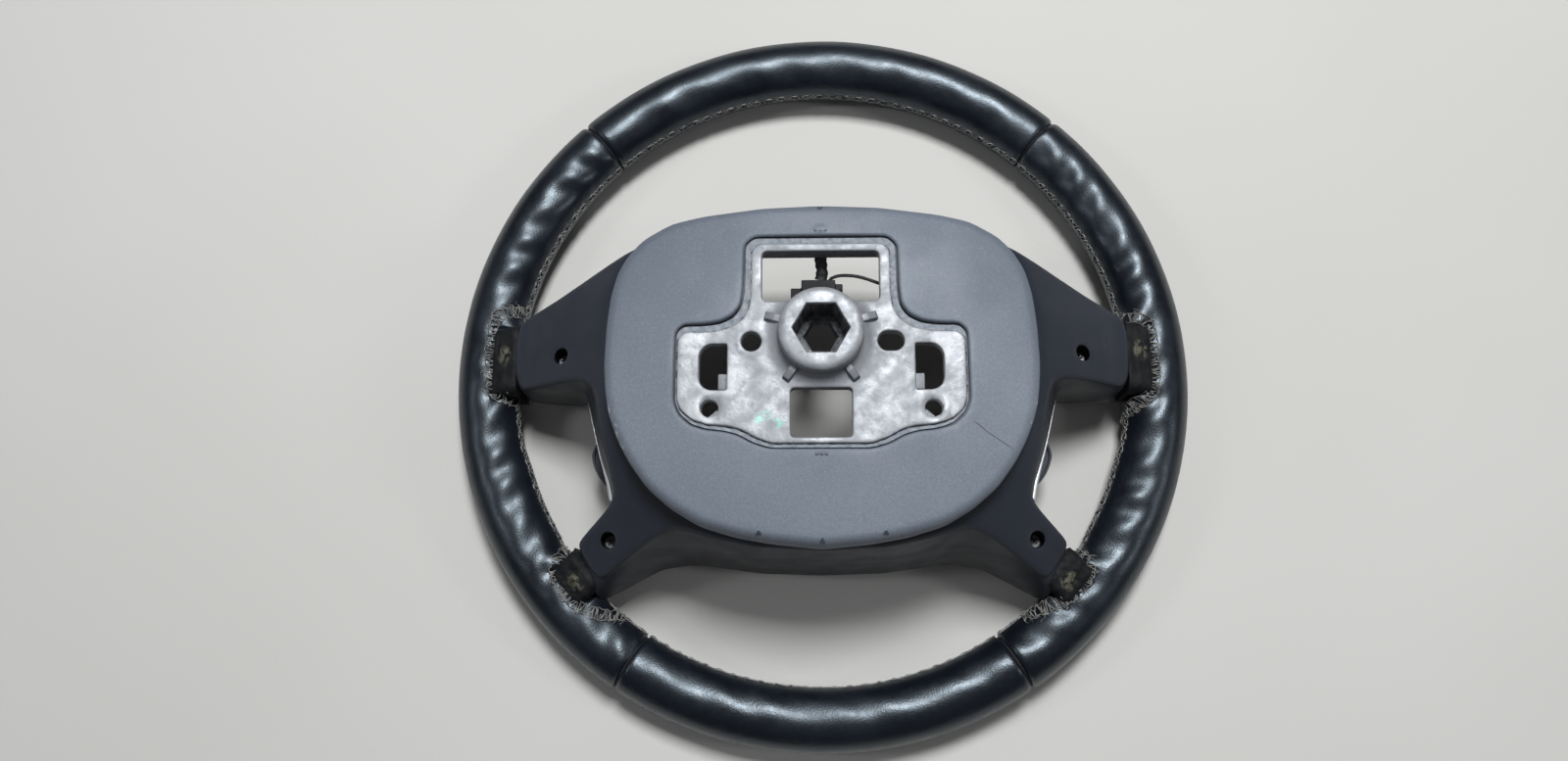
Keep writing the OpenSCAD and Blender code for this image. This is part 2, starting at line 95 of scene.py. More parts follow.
def make_lights():
    world = bpy.data.worlds.new("world")
    bpy.context.scene.world = world
    world.use_nodes = True
    tree = world.node_tree
    sky = tree.nodes["Background"]
    sky.inputs[0].default_value = (0.93, 0.96, 1.0, 1)
    way = tree.nodes.new("ShaderNodeTexCoord")
    split = tree.nodes.new("ShaderNodeSeparateXYZ")
    ramp = tree.nodes.new("ShaderNodeMapRange")
    for key, number in (("From Min", 0.05), ("From Max", 0.9), ("To Min", 0.02), ("To Max", 0.13)):
        ramp.inputs[key].default_value = number
    tree.links.new(way.outputs["Generated"], split.inputs[0])
    tree.links.new(split.outputs["Z"], ramp.inputs["Value"])
    tree.links.new(ramp.outputs["Result"], sky.inputs[1])
    pale = tree.nodes.new("ShaderNodeBackground")
    pale.inputs[0].default_value = (0.60, 0.60, 0.59, 1)
    seen, path = tree.nodes.new("ShaderNodeMixShader"), tree.nodes.new("ShaderNodeLightPath")
    tree.links.new(path.outputs["Is Camera Ray"], seen.inputs[0])
    tree.links.new(sky.outputs[0], seen.inputs[1])
    tree.links.new(pale.outputs[0], seen.inputs[2])
    tree.links.new(seen.outputs[0], tree.nodes["World Output"].inputs["Surface"])
    area_light("key", (0.13, 0.60, 1.60), (0, 0.02, 0.03), (0.40, 0.44), 28, (0.95, 0.98, 1))
    area_light("left_fill", (-1.35, -0.05, 1.25), (0, 0, 0.03), (0.22, 0.36), 2.9, (0.93, 0.97, 1))
    area_light("right_fill", (1.60, -0.25, 1.15), (0, 0, 0.03), (0.22, 0.36), 3.6, (0.95, 0.98, 1))
    bpy.context.scene.view_settings.view_transform = "Standard"


# ---------------------------------------------------------------- materials

class Paint:
    """A procedural material with one Principled shader and short ways to wire it."""

    def __init__(self, name, colour, rough, metal=0.0, **extra):
        self.mat = bpy.data.materials.new(name)
        self.mat.use_nodes = True
        self.tree = self.mat.node_tree
        self.shader = self.tree.nodes["Principled BSDF"]
        self.put("Base Color", (*colour, 1))
        self.put("Roughness", rough)
        self.put("Metallic", metal)
        for key, value in extra.items():
            self.put(key.replace("_", " "), value)
        self.place = self.tree.nodes.new("ShaderNodeTexCoord").outputs["Object"]

    def put(self, socket, value):
        self.shader.inputs[socket].default_value = value

    def node(self, kind, links=(), **values):
        made = self.tree.nodes.new(kind)
        for key, value in values.items():
            if hasattr(made, key):
                setattr(made, key, value)
            else:
                made.inputs[key].default_value = value
        for socket, source in dict(links).items():
            self.tree.links.new(source, made.inputs[socket])
        return made

    def noise(self, scale, detail=3.0, rough=0.5, place=None, distort=0.0):
        made = self.node("ShaderNodeTexNoise", {"Vector": place or self.place}, Scale=scale, Detail=detail,
                         Roughness=rough, Distortion=distort)
        return made.outputs["Fac"]

    def cells(self, scale, feature="F1", randomness=1.0, place=None):
        made = self.node("ShaderNodeTexVoronoi", {"Vector": place or self.place}, feature=feature,
                         Scale=scale, Randomness=randomness)
        return made.outputs["Distance"]

    def stretch(self, scale):
        made = self.node("ShaderNodeMapping", {"Vector": self.place})
        made.inputs["Scale"].default_value = scale
        return made.outputs["Vector"]

    def spread(self, value, lo, hi, out_lo=0.0, out_hi=1.0):
        made = self.node("ShaderNodeMapRange", {"Value": value}, clamp=True, interpolation_type="SMOOTHSTEP")
        for key, number in (("From Min", lo), ("From Max", hi), ("To Min", out_lo), ("To Max", out_hi)):
            made.inputs[key].default_value = number
        return made.outputs["Result"]

    def sum(self, op, a, b):
        made = self.node("ShaderNodeMath", operation=op)
        for i, value in enumerate((a, b)):
            if isinstance(value, (int, float)):
                made.inputs[i].default_value = value
            else:
                self.tree.links.new(value, made.inputs[i])
        return made.outputs[0]

    def mix(self, factor, a, b):
        made = self.node("ShaderNodeMix", data_type="RGBA")
        self.tree.links.new(factor, made.inputs["Factor"])
        for socket, value in ((made.inputs[6], a), (made.inputs[7], b)):
            if isinstance(value, tuple):
                socket.default_value = (*value, 1)
            else:
                self.tree.links.new(value, socket)
        return made.outputs[2]

    def near(self, centre, inner, outer):
        """1 near a point of the frame (mm), 0 beyond the outer radius."""
        shift = self.node("ShaderNodeVectorMath", {0: self.place}, operation="DISTANCE")
        shift.inputs[1].default_value = [c * MM for c in centre]
        return self.spread(shift.outputs["Value"], inner * MM, outer * MM, 1.0, 0.0)

    def column(self, centre, inner, outer):
        """1 inside an upright cylinder (mm), 0 beyond its outer radius."""
        flat = self.stretch((1, 1, 0))
        shift = self.node("ShaderNodeVectorMath", {0: flat}, operation="DISTANCE")
        shift.inputs[1].default_value = (centre[0] * MM, centre[1] * MM, 0)
        return self.spread(shift.outputs["Value"], inner * MM, outer * MM, 1.0, 0.0)

    def split(self):
        return self.node("ShaderNodeSeparateXYZ", {"Vector": self.place}).outputs

    def colour(self, source):
        self.tree.links.new(source, self.shader.inputs["Base Color"])

    def rough(self, source):
        self.tree.links.new(source, self.shader.inputs["Roughness"])

    def bump(self, *layers):
        """Layers of (height, depth in mm), added from the coarse one to the fine one."""
        normal = None
        for height, depth in layers:
            made = self.node("ShaderNodeBump", {"Height": height}, Strength=1.0, Distance=depth * MM)
            if normal:
                self.tree.links.new(normal, made.inputs["Normal"])
            normal = made.outputs["Normal"]
        self.tree.links.new(normal, self.shader.inputs["Normal"])


def leather_paint():
    p = Paint("leather", (0.006, 0.0075, 0.011), 0.32, Specular_IOR_Level=0.72,
              Specular_Tint=(0.80, 0.91, 1, 1))
    worn = p.spread(p.noise(28, 4), 0.38, 0.66)
    p.colour(p.mix(worn, (0.0032, 0.0046, 0.0080), (0.0060, 0.0082, 0.0135)))
    fine = p.noise(260, 3)
    p.rough(p.sum("ADD", p.spread(worn, 0, 1, 0.33, 0.38), p.spread(fine, 0.3, 0.7, -0.02, 0.04)))
    pebble = p.spread(p.cells(1150, "SMOOTH_F1"), 0.0, 0.75)
    crease = p.spread(p.cells(430, "DISTANCE_TO_EDGE"), 0.0, 0.10)
    p.bump((p.noise(90, 3, 0.5), 0.025), (crease, 0.006), (pebble, 0.030))
    return p.mat


def foam_paint():
    p = Paint("rim_foam", (0.010, 0.011, 0.014), 0.60, Specular_IOR_Level=0.3)
    dirt = p.spread(p.noise(170, 5, 0.62), 0.42, 0.62)
    base = p.mix(dirt, (0.004, 0.005, 0.007), (0.014, 0.014, 0.015))
    glue = p.sum("MULTIPLY", p.spread(p.noise(300, 4, 0.6), 0.42, 0.56), glue_area(p))
    p.colour(p.mix(glue, base, (0.12, 0.113, 0.084)))
    p.rough(p.spread(glue, 0, 1, 0.74, 0.42))
    p.bump((p.noise(240, 5, 0.6), 0.25), (p.cells(900), 0.05), (glue, 0.25))
    return p.mat


def glue_area(p):
    spots = [(-162.0, 6.5, 37), (162.0, 7.5, 37), (-121.0, -108.0, 37), (119.5, -108.0, 37)]
    found = None
    for spot in spots:
        one = p.near(spot, 3.6, 6.2)
        found = one if found is None else p.sum("MAXIMUM", found, one)
    return found


def thread_paint():
    p = Paint("thread", (0.15, 0.15, 0.145), 0.75, Sheen_Weight=0.2)
    p.colour(p.mix(p.spread(p.noise(300, 4), 0.34, 0.60), (0.08, 0.08, 0.082), (0.42, 0.41, 0.39)))
    strand = p.node("ShaderNodeTexWave", {"Vector": p.place}, Scale=900.0, Distortion=5.0)
    p.bump((strand.outputs["Fac"], 0.12), (p.noise(1800, 2), 0.06))
    return p.mat


def lacing_paint():
    p = Paint("lacing", (0.16, 0.155, 0.14), 0.8, Sheen_Weight=0.25)
    p.colour(p.mix(p.spread(p.noise(330, 5, 0.6), 0.38, 0.62), (0.10, 0.10, 0.098), (0.30, 0.29, 0.265)))
    p.bump((p.noise(1500, 3), 0.16), (p.cells(2600), 0.05))
    return p.mat


def plastic_paint(name, low, high, rough, grain, depth, scuffs=0.0, wells=(), gloss=0.5):
    p = Paint(name, low, rough, Specular_IOR_Level=gloss)
    base = p.mix(p.spread(p.noise(16, 4), 0.35, 0.68), low, high)
    if scuffs:
        marks = p.sum("MULTIPLY", p.spread(p.noise(900, 3, place=p.stretch((1, 0.09, 1))), 0.66, 0.74),
                      p.spread(p.noise(24, 3), 0.50, 0.66))
        specks = p.spread(p.cells(120), 0.012, 0.035, 1.0, 0.0)
        marks = p.sum("MULTIPLY", p.sum("MAXIMUM", marks, specks), scuffs)
        pale = tuple(min(1, c * 2.2 + 0.05) for c in high)
        base = p.mix(marks, base, pale)
    # Painted shade: each screw well is darkened to 15 % of the base colour.
    for x, y in wells:
        base = p.mix(p.column((x, y), 3.9, 4.1), base, tuple(c * 0.15 for c in low))
    p.colour(base)
    p.rough(p.spread(p.noise(60, 4), 0.3, 0.7, rough - 0.05, rough + 0.06))
    p.bump((p.noise(90, 3), 0.05), (p.cells(grain, "SMOOTH_F1"), depth))
    return p.mat


def hub_cover_paint():
    p = Paint("grey_plastic", (0.20, 0.23, 0.27), 0.55)
    # Painted light: a cloudy tone plus a gradient that makes the cover lighter towards the bottom.
    cloud = p.sum("ADD", p.spread(p.noise(9, 3), 0.32, 0.70, 0.0, 0.5),
                  p.spread(p.split()[1], -0.09, 0.06, 0.5, 0.0))
    base = p.mix(cloud, (0.118, 0.139, 0.174), (0.200, 0.226, 0.272))
    grain = p.sum("MULTIPLY", p.spread(p.noise(1000, 2), 0.42, 0.58), 0.22)
    base = p.mix(grain, base, (0.075, 0.088, 0.108))
    dust = p.sum("MULTIPLY", p.spread(p.noise(620, 2), 0.60, 0.74), 0.20)
    base = p.mix(dust, base, (0.30, 0.32, 0.35))
    specks = p.spread(p.cells(95), 0.010, 0.030, 0.75, 0.0)
    base = p.mix(p.sum("MULTIPLY", specks, p.spread(p.noise(30, 2), 0.54, 0.66, 0.0, 0.35)), base,
                 (0.40, 0.43, 0.47))
    for x, y, size in ((-97, -35, 5), (-94.5, -43, 5), (-90, -51, 4), (97.5, -31, 4), (96, -40, 4)):
        scuff = p.sum("MULTIPLY", p.near((x, y, 94), size * 0.4, size), p.spread(p.noise(500, 3), 0.50, 0.60))
        base = p.mix(p.sum("MULTIPLY", scuff, 0.8), base, (0.50, 0.54, 0.58))
    scratch = scratch_mask(p, (67.5, -40.5), (86.5, -54.0), 0.32)
    base = p.mix(scratch, base, (0.05, 0.06, 0.07))
    lip = p.sum("MULTIPLY", lip_mask(p), p.spread(p.noise(420, 4, 0.6), 0.36, 0.66, 0.25, 0.85))
    base = p.mix(lip, base, (0.27, 0.29, 0.32))
    # Painted shade: a dark line in the groove at the foot of the crown's wall, round the opening.
    groove_shade = p.sum("MULTIPLY", p.spread(p.split()[2], 0.0986, 0.0990, 1.0, 0.0),
                   p.near((0, -16, 99.3), 71.3, 72.3))
    base = p.mix(groove_shade, base, (0.018, 0.021, 0.028))
    p.colour(base)
    p.rough(p.spread(p.noise(45, 4), 0.3, 0.7, 0.50, 0.62))
    p.bump((p.noise(60, 3), 0.06), (p.cells(1500, "SMOOTH_F1"), 0.022),
           (p.sum("MULTIPLY", scratch, -1.0), 0.08))
    return p.mat


def scratch_mask(p, a, b, width):
    """1 along a fine, slightly wavy line on the cover between two plan points (mm)."""
    x, y, _ = p.split()
    length = math.dist(a, b)
    ux, uy = (b[0] - a[0]) / length, (b[1] - a[1]) / length
    along = p.sum("ADD", p.sum("MULTIPLY", x, ux), p.sum("MULTIPLY", y, uy))
    across = p.sum("ADD", p.sum("MULTIPLY", x, -uy), p.sum("MULTIPLY", y, ux))
    start = (a[0] * ux + a[1] * uy) * MM
    off = (-a[0] * uy + a[1] * ux) * MM
    wavy = p.sum("ADD", p.sum("SUBTRACT", across, off), p.spread(p.noise(70, 2), 0, 1, -0.0009, 0.0009))
    thin = p.spread(p.sum("ABSOLUTE", wavy, 0), 0.0, width * MM, 1.0, 0.0)
    begin = p.spread(along, start, start + 0.001)
    end = p.spread(along, start + length * MM - 0.004, start + length * MM, 1.0, 0.0)
    return p.sum("MULTIPLY", thin, p.sum("MULTIPLY", begin, end))


def lip_mask(p):
    """1 on the moulded lip, which lies lower than the crown round the opening."""
    low = p.spread(p.split()[2], 0.0999, 0.1002, 1.0, 0.0)
    return p.sum("MULTIPLY", low, p.near((0, -16, 99.3), 71.3, 72.3))


def magnesium_paint():
    p = Paint("magnesium", (0.40, 0.41, 0.43), 0.5, metal=0.30)
    cloud = p.spread(p.noise(60, 6, 0.66, distort=0.8), 0.34, 0.66)
    base = p.mix(cloud, (0.28, 0.29, 0.31), (0.39, 0.40, 0.42))
    for x, y, size in ((-40, -22, 9), (-54, -36, 9), (54, -36, 9), (56, -6, 8), (-58, -4, 7), (0, -46, 6)):
        pale = p.sum("MULTIPLY", p.near((x, y, 101), size * 0.5, size),
                     p.spread(p.noise(120, 4, 0.6), 0.40, 0.54))
        base = p.mix(p.sum("MULTIPLY", pale, 0.7), base, (0.66, 0.67, 0.69))
    base = p.mix(p.spread(p.split()[1], 0.030, 0.041, 0.0, 0.6), base, (0.20, 0.21, 0.235))
    x, y, z = p.split()
    # Painted shade: the plate and fillet round the foot of the boss are darkened, centred a little below the
    # boss.
    foot = p.sum("MULTIPLY", p.near((3, -5, 101), 22, 32), p.spread(z, 0.1045, 0.1065, 1.0, 0.0))
    base = p.mix(p.sum("MULTIPLY", foot, 0.5), base, (0.17, 0.175, 0.19))
    for a in (18.5, 161.5, -53, -127):
        end = p.near((25.0 * math.cos(rad(a)), 25.0 * math.sin(rad(a)), 103.6), 2.4, 3.4)
        base = p.mix(p.sum("MULTIPLY", end, 0.7), base, (0.14, 0.145, 0.155))
    # Painted shade: the inside of the hex socket below its rim is darkened nearly to black, broken by upright
    # streaks.
    socket_shade = p.sum("MULTIPLY", p.column((0, 0), 12.7, 13.3), p.spread(z, 0.1095, 0.1117, 1.0, 0.0))
    streak = p.spread(p.noise(420, 3, place=p.stretch((1, 1, 0.06))), 0.40, 0.62)
    base = p.mix(p.sum("MULTIPLY", socket_shade, p.spread(streak, 0, 1, 0.55, 0.95)), base, (0.045, 0.047, 0.052))
    stain = p.sum("MULTIPLY", p.spread(p.noise(230, 5, 0.65), 0.54, 0.68), 0.45)
    base = p.mix(stain, base, (0.15, 0.155, 0.165))
    mark = None
    for spot in ((-28.2, -39.0, 101), (-24.4, -37.8, 101), (-19.6, -41.2, 101)):
        one = p.near(spot, 1.0, 3.4)
        mark = one if mark is None else p.sum("MAXIMUM", mark, one)
    mark = p.sum("MULTIPLY", mark, p.spread(p.noise(380, 3), 0.42, 0.60, 0.0, 0.75))
    base = p.mix(mark, base, (0.22, 0.50, 0.42))
    p.colour(base)
    p.rough(p.spread(p.noise(120, 5, 0.6), 0.32, 0.68, 0.42, 0.66))
    p.bump((p.noise(140, 5, 0.6), 0.16), (p.noise(900, 3), 0.05), (p.cells(500), 0.03))
    return p.mat


def satin_paint():
    p = Paint("satin_silver", (0.52, 0.53, 0.55), 0.30, metal=0.75, Coat_Weight=0.25)
    p.colour(p.mix(p.spread(p.noise(40, 4), 0.35, 0.65), (0.47, 0.48, 0.50), (0.60, 0.61, 0.62)))
    p.bump((p.noise(300, 3), 0.02), (p.noise(2500, 2), 0.006))
    return p.mat


def simple_paint(name, low, high, rough, metal=0.0, scale=300, depth=0.03):
    p = Paint(name, low, rough, metal)
    p.colour(p.mix(p.spread(p.noise(scale, 4), 0.35, 0.65), low, high))
    p.rough(p.spread(p.noise(scale * 0.6, 3), 0.3, 0.7, max(0.05, rough - 0.07), rough + 0.07))
    p.bump((p.noise(scale * 3, 3), depth))
    return p.mat


def floor_paint():
    p = Paint("floor", (0.60, 0.595, 0.575), 0.85)
    p.colour(p.mix(p.spread(p.noise(2.2, 3), 0.3, 0.7), (0.615, 0.595, 0.565), (0.65, 0.63, 0.60)))
    p.bump((p.noise(400, 2), 0.05))
    return p.mat


# ---------------------------------------------------------------- mesh building

class Shape:
    """Points in mm and faces, gathered from grids, fills and tubes."""

    def __init__(self):
        self.points, self.faces, self.count = [], [], 0

    def add(self, points, faces):
        self.points.append(np.asarray(points, float).reshape(-1, 3))
        self.faces += [[i + self.count for i in f] for f in faces]
        self.count += len(self.points[-1])

    def grid(self, rows, wrap=True, loop=False, caps=False):
        """Rows of points become a sheet. wrap closes each row, loop joins the last row to the first."""
        rows = np.asarray(rows, float)
        n, m = rows.shape[:2]
        faces = []
        for i in range(n if loop else n - 1):
            a, b = i * m, (i + 1) % n * m
            for j in range(m if wrap else m - 1):
                k = (j + 1) % m
                faces.append([a + j, a + k, b + k, b + j])
        if caps:
            faces += [list(range(m))[::-1], [(n - 1) * m + j for j in range(m)]]
        self.add(rows, faces)

    def tube(self, path, r, sides=6, radii=None):
        path = np.asarray(path, float)
        n = len(path)
        t = np.gradient(path, axis=0)
        t /= np.linalg.norm(t, axis=1)[:, None] + 1e-9
        up = np.array([0.31, 0.17, 1.0])
        u = np.cross(t, up)
        u /= np.linalg.norm(u, axis=1)[:, None] + 1e-9
        v = np.cross(t, u)
        a = np.linspace(0, 2 * math.pi, sides, endpoint=False)
        rr = np.full(n, r) if radii is None else np.asarray(radii)
        rows = path[:, None] + rr[:, None, None] * (np.cos(a)[None, :, None] * u[:, None]
                                                    + np.sin(a)[None, :, None] * v[:, None])
        self.grid(rows, caps=True)


def piece(name, shape, paint, replaces=(), body="wheel", sharp=38, subsurf=0):
    """Welds a shape, turns its faces outwards and puts it on its body."""
    points = np.vstack(shape.points) * MM
    mesh = bpy.data.meshes.new(name)
    mesh.from_pydata(points.tolist(), [], shape.faces)
    bm = bmesh.new()
    bm.from_mesh(mesh)
    bmesh.ops.remove_doubles(bm, verts=bm.verts, dist=3e-6)
    bmesh.ops.dissolve_degenerate(bm, edges=bm.edges, dist=1e-7)
    bmesh.ops.recalc_face_normals(bm, faces=bm.faces)
    bm.to_mesh(mesh)
    bm.free()
    for poly in mesh.polygons:
        poly.use_smooth = True
    mesh.set_sharp_from_angle(angle=rad(sharp))
    mesh.materials.append(paint)
    obj = bpy.data.objects.new(name, mesh)
    bpy.context.scene.collection.objects.link(obj)
    if subsurf:
        more = obj.modifiers.new("subsurf", "SUBSURF")
        more.levels = more.render_levels = subsurf
    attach(obj, body)
    if replaces:
        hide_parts(*([replaces] if isinstance(replaces, str) else replaces))
    return obj


def rounded_copy(name, node, paint, slot, width=0.4, body="wheel", segments=2):
    """A copy of a CAD node's mesh with its edges rounded."""
    bm = bmesh.new()
    bm.from_mesh(frame["nodes"][node].data)
    bmesh.ops.remove_doubles(bm, verts=bm.verts, dist=1e-6)
    bmesh.ops.dissolve_limit(bm, angle_limit=rad(1.5), verts=bm.verts, edges=bm.edges)
    bmesh.ops.recalc_face_normals(bm, faces=bm.faces)
    mesh = bpy.data.meshes.new(name)
    bm.to_mesh(mesh)
    bm.free()
    for poly in mesh.polygons:
        poly.use_smooth = True
    mesh.materials.clear()
    mesh.materials.append(paint)
    obj = bpy.data.objects.new(name, mesh)
    bpy.context.scene.collection.objects.link(obj)
    bevel = obj.modifiers.new("bevel", "BEVEL")
    bevel.width = width * MM
    bevel.segments = segments
    bevel.limit_method = "ANGLE"
    bevel.angle_limit = rad(32)
    bevel.harden_normals = True
    mesh.set_sharp_from_angle(angle=rad(38))
    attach(obj, body)
    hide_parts(node)
    return obj


def mirrored(half):
    """A whole outline, anticlockwise, from its right half that runs from 12 to 6 o'clock."""
    right = list(half)
    left = [(-x, y) for x, y in right[-2:0:-1]]
    return np.array(right + left, float)[::-1]


def soften(points, step, passes):
    """Resamples a closed outline (extra columns come along) and rounds its corners."""
    p = np.asarray(points, float)
    closed = np.vstack([p, p[:1]])
    run = np.concatenate([[0], np.cumsum(np.linalg.norm(np.diff(closed[:, :2], axis=0), axis=1))])
    n = max(8, int(round(run[-1] / step)))
    at = np.linspace(0, run[-1], n, endpoint=False)
    out = np.stack([np.interp(at, run, closed[:, k]) for k in range(p.shape[1])], axis=1)
    for _ in range(passes):
        out = 0.5 * out + 0.25 * (np.roll(out, 1, 0) + np.roll(out, -1, 0))
    return out


def offset(loop, d):
    """Moves an anticlockwise outline inwards by d."""
    p = loop[:, :2]
    e = np.roll(p, -1, 0) - p
    e /= np.linalg.norm(e, axis=1)[:, None] + 1e-12
    n2 = np.stack([-e[:, 1], e[:, 0]], 1)
    n1 = np.roll(n2, 1, 0)
    m = n1 + n2
    scale = 1 + (n1 * n2).sum(1)
    return p + d * m / np.maximum(scale, 0.35)[:, None]


def inside(points, loop):
    x, y = points[:, 0], points[:, 1]
    found = np.zeros(len(points), bool)
    a, b = loop[:, :2], np.roll(loop[:, :2], -1, 0)
    for (ax, ay), (bx, by) in zip(a, b):
        if ay == by:
            continue
        crosses = ((ay > y) != (by > y)) & (x < (bx - ax) * (y - ay) / (by - ay) + ax)
        found ^= crosses
    return found


def level(loop, z):
    """Gives a plan outline its heights, from a number, an array or a function of x and y."""
    p = np.asarray(loop)[:, :2]
    h = z(p[:, 0], p[:, 1]) if callable(z) else np.broadcast_to(z, len(p))
    return np.column_stack([p, h])


def fill(shape, outer, holes, z, spacing):
    """Meshes the area between an outline and its holes, with inner points for a curved surface."""
    loops = [np.asarray(outer)[:, :2]] + [np.asarray(h)[:, :2] for h in holes]
    pts, edges = [], []
    for loop in loops:
        base = len(pts)
        pts += [Vector(q) for q in loop]
        edges += [(base + i, base + (i + 1) % len(loop)) for i in range(len(loop))]
    lo, hi = loops[0].min(0), loops[0].max(0)
    ys = np.arange(lo[1], hi[1], spacing * 0.87)
    cand = np.array([(x + (i % 2) * spacing / 2, y) for i, y in enumerate(ys)
                     for x in np.arange(lo[0], hi[0], spacing)])
    keep = inside(cand, loops[0])
    for loop in loops[1:]:
        keep &= ~inside(cand, loop)
    cand = cand[keep]
    rim = np.vstack(loops)
    near = np.array([np.min(np.hypot(rim[:, 0] - x, rim[:, 1] - y)) for x, y in cand]) if len(cand) else []
    pts += [Vector(q) for q, d in zip(cand, near) if d > spacing * 0.55]
    verts, _, faces, *_ = delaunay_2d_cdt(pts, edges, [], 1, 1e-6)
    plan = np.array([(v.x, v.y) for v in verts])
    mid = np.array([plan[list(f)].mean(0) for f in faces])
    good = inside(mid, loops[0])
    for loop in loops[1:]:
        good &= ~inside(mid, loop)
    shape.add(level(plan, z), [list(f) for f, g in zip(faces, good) if g])


def quarter(r, steps):
    """(inset, drop) from the flat surface to the side of a rounded edge."""
    return [(r * (1 - math.sin(t)), r * (1 - math.cos(t))) for t in np.linspace(0, math.pi / 2, steps)]


def box_loft(shape, stations, corner=1.5, steps=4):
    """A bar from stations (centre, half width vector, half height vector) with rounded corners."""
    rows = []
    for centre, u, v in stations:
        centre, u, v = (np.asarray(q, float) for q in (centre, u, v))
        lu, lv = np.linalg.norm(u), np.linalg.norm(v)
        r = min(corner, lu * 0.9, lv * 0.9)
        row = []
        for k, (su, sv) in enumerate([(1, 1), (-1, 1), (-1, -1), (1, -1)]):
            for t in np.linspace(k * 90, k * 90 + 90, steps):
                row.append(centre + u / lu * (su * (lu - r) + r * math.cos(rad(t)))
                           + v / lv * (sv * (lv - r) + r * math.sin(rad(t))))
        rows.append(row)
    shape.grid(rows, caps=True)


def smooth_path(points, step=1.0):
    """Catmull-Rom points about a step apart along a route."""
    p = np.asarray(points, float)
    q = np.vstack([2 * p[0] - p[1], p, 2 * p[-1] - p[-2]])
    out = []
    for i in range(1, len(q) - 2):
        a, b, c, d = q[i - 1:i + 3]
        n = max(2, int(np.linalg.norm(c - b) / step))
        for t in np.linspace(0, 1, n, endpoint=False):
            out.append(0.5 * (2 * b + (c - a) * t + (2 * a - 5 * b + 4 * c - d) * t ** 2
                              + (3 * b - a - 3 * c + d) * t ** 3))
    return np.array(out + [p[-1]])


def smoothstep(x, a, b):
    t = np.clip((x - a) / (b - a), 0, 1)
    return t * t * (3 - 2 * t)


# ---------------------------------------------------------------- rim

def rim_point(a, phi, r):
    """A point of the rim: angle round the wheel, angle round the section (0 out, 90 up), radius."""
    a, phi, r = np.broadcast_arrays(a, phi, r)
    reach = RIM_R + r * np.cos(phi)
    return np.stack([reach * np.cos(a), reach * np.sin(a), SEC_R + r * np.sin(phi)], -1)


def root_dip(a, phi, wave):
    """1 where the leather is cut away for a spoke root, with a slightly ragged edge."""
    reach = RIM_R + SEC_R * np.cos(phi)
    x, y = reach * np.cos(a), reach * np.sin(a)
    dip = np.zeros(np.shape(x))
    for side in (1, -1):
        for root_a, shift, width in (UPPER_ROOT, LOWER_ROOT):
            c, s = math.cos(rad(root_a)), math.sin(rad(root_a))
            u, v = side * x * c + y * s, -side * x * s + y * c
            edge = width / 2 + 1 + wave
            one = smoothstep(edge - np.abs(v - shift), -0.5, 0.6) * smoothstep(169.0 + wave - u, -0.5, 0.6)
            dip = np.maximum(dip, one * (u > 0) * (np.sin(phi) > -0.5))
    return dip


def root_flare(a, phi):
    """1 beside a spoke root, where the leather climbs the flank of the foam."""
    reach = RIM_R + SEC_R * np.cos(phi)
    x, y = reach * np.cos(a), reach * np.sin(a)
    flare = np.zeros(np.shape(x))
    for side in (1, -1):
        for root_a, shift, width in (UPPER_ROOT, LOWER_ROOT):
            c, s = math.cos(rad(root_a)), math.sin(rad(root_a))
            u, v = side * x * c + y * s, -side * x * s + y * c
            beyond = np.maximum(0, np.abs(v - shift) - width / 2 - 1)
            one = smoothstep(171 - u, 0, 11) * np.exp(-(beyond / 5.5) ** 2) * (u > 0)
            flare = np.maximum(flare, one * smoothstep(np.sin(phi), -0.1, 0.5))
    return flare


def seam_angle(a):
    """Angle round the section where the leather is closed: a little above the middle at the sides."""
    return np.radians(178 - 12 * np.square(np.cos(a)))


def leather_radius(a, phi, grip):
    """Radius of the wrapped section: padding, finger grips, puckers, seam valley and roots."""
    a, phi = np.broadcast_arrays(a, phi)
    s = a * RIM_R
    deg = np.degrees(phi)
    r = np.full(a.shape, SEC_R)
    world = np.degrees(a) % 360
    side = np.minimum(np.abs(world - 204.5), np.abs(world - 336))
    r = r + 1.3 * smoothstep(12 - side, 0, 6) * np.exp(-((deg - 180) / 46) ** 2)
    period = 20.0 if grip else 29.0
    depth = 1.25 if grip else 0.60
    twist = 0.55 * np.sin(2 * math.pi * s / 61 + 1.0)
    wave = np.cos(2 * math.pi * s / period + twist + (deg - 115) * 0.030)
    r = r - depth * (0.5 + 0.5 * wave) * np.exp(-((deg - (110 if grip else 115)) / 27) ** 2)
    r = r - 0.12 * np.sin(2 * math.pi * s / 47 + 0.7) * np.exp(-((deg - 70) / 50) ** 2)
    seam = np.abs(deg - np.degrees(seam_angle(a))) * rad(1) * SEC_R
    r = r - 0.85 * np.exp(-(seam / 0.9) ** 2)
    r = r + 0.20 * np.exp(-((seam - 2.6) / 1.3) ** 2) * (0.55 + 0.45 * np.cos(2 * math.pi * s / 8.6))
    ragged = 0.7 * np.sin(s * 0.9) + 0.5 * np.sin(s * 2.3 + deg * 0.2)
    return r + 3.2 * root_flare(a, phi) - 1.45 * root_dip(a, phi, 0.6 * ragged)


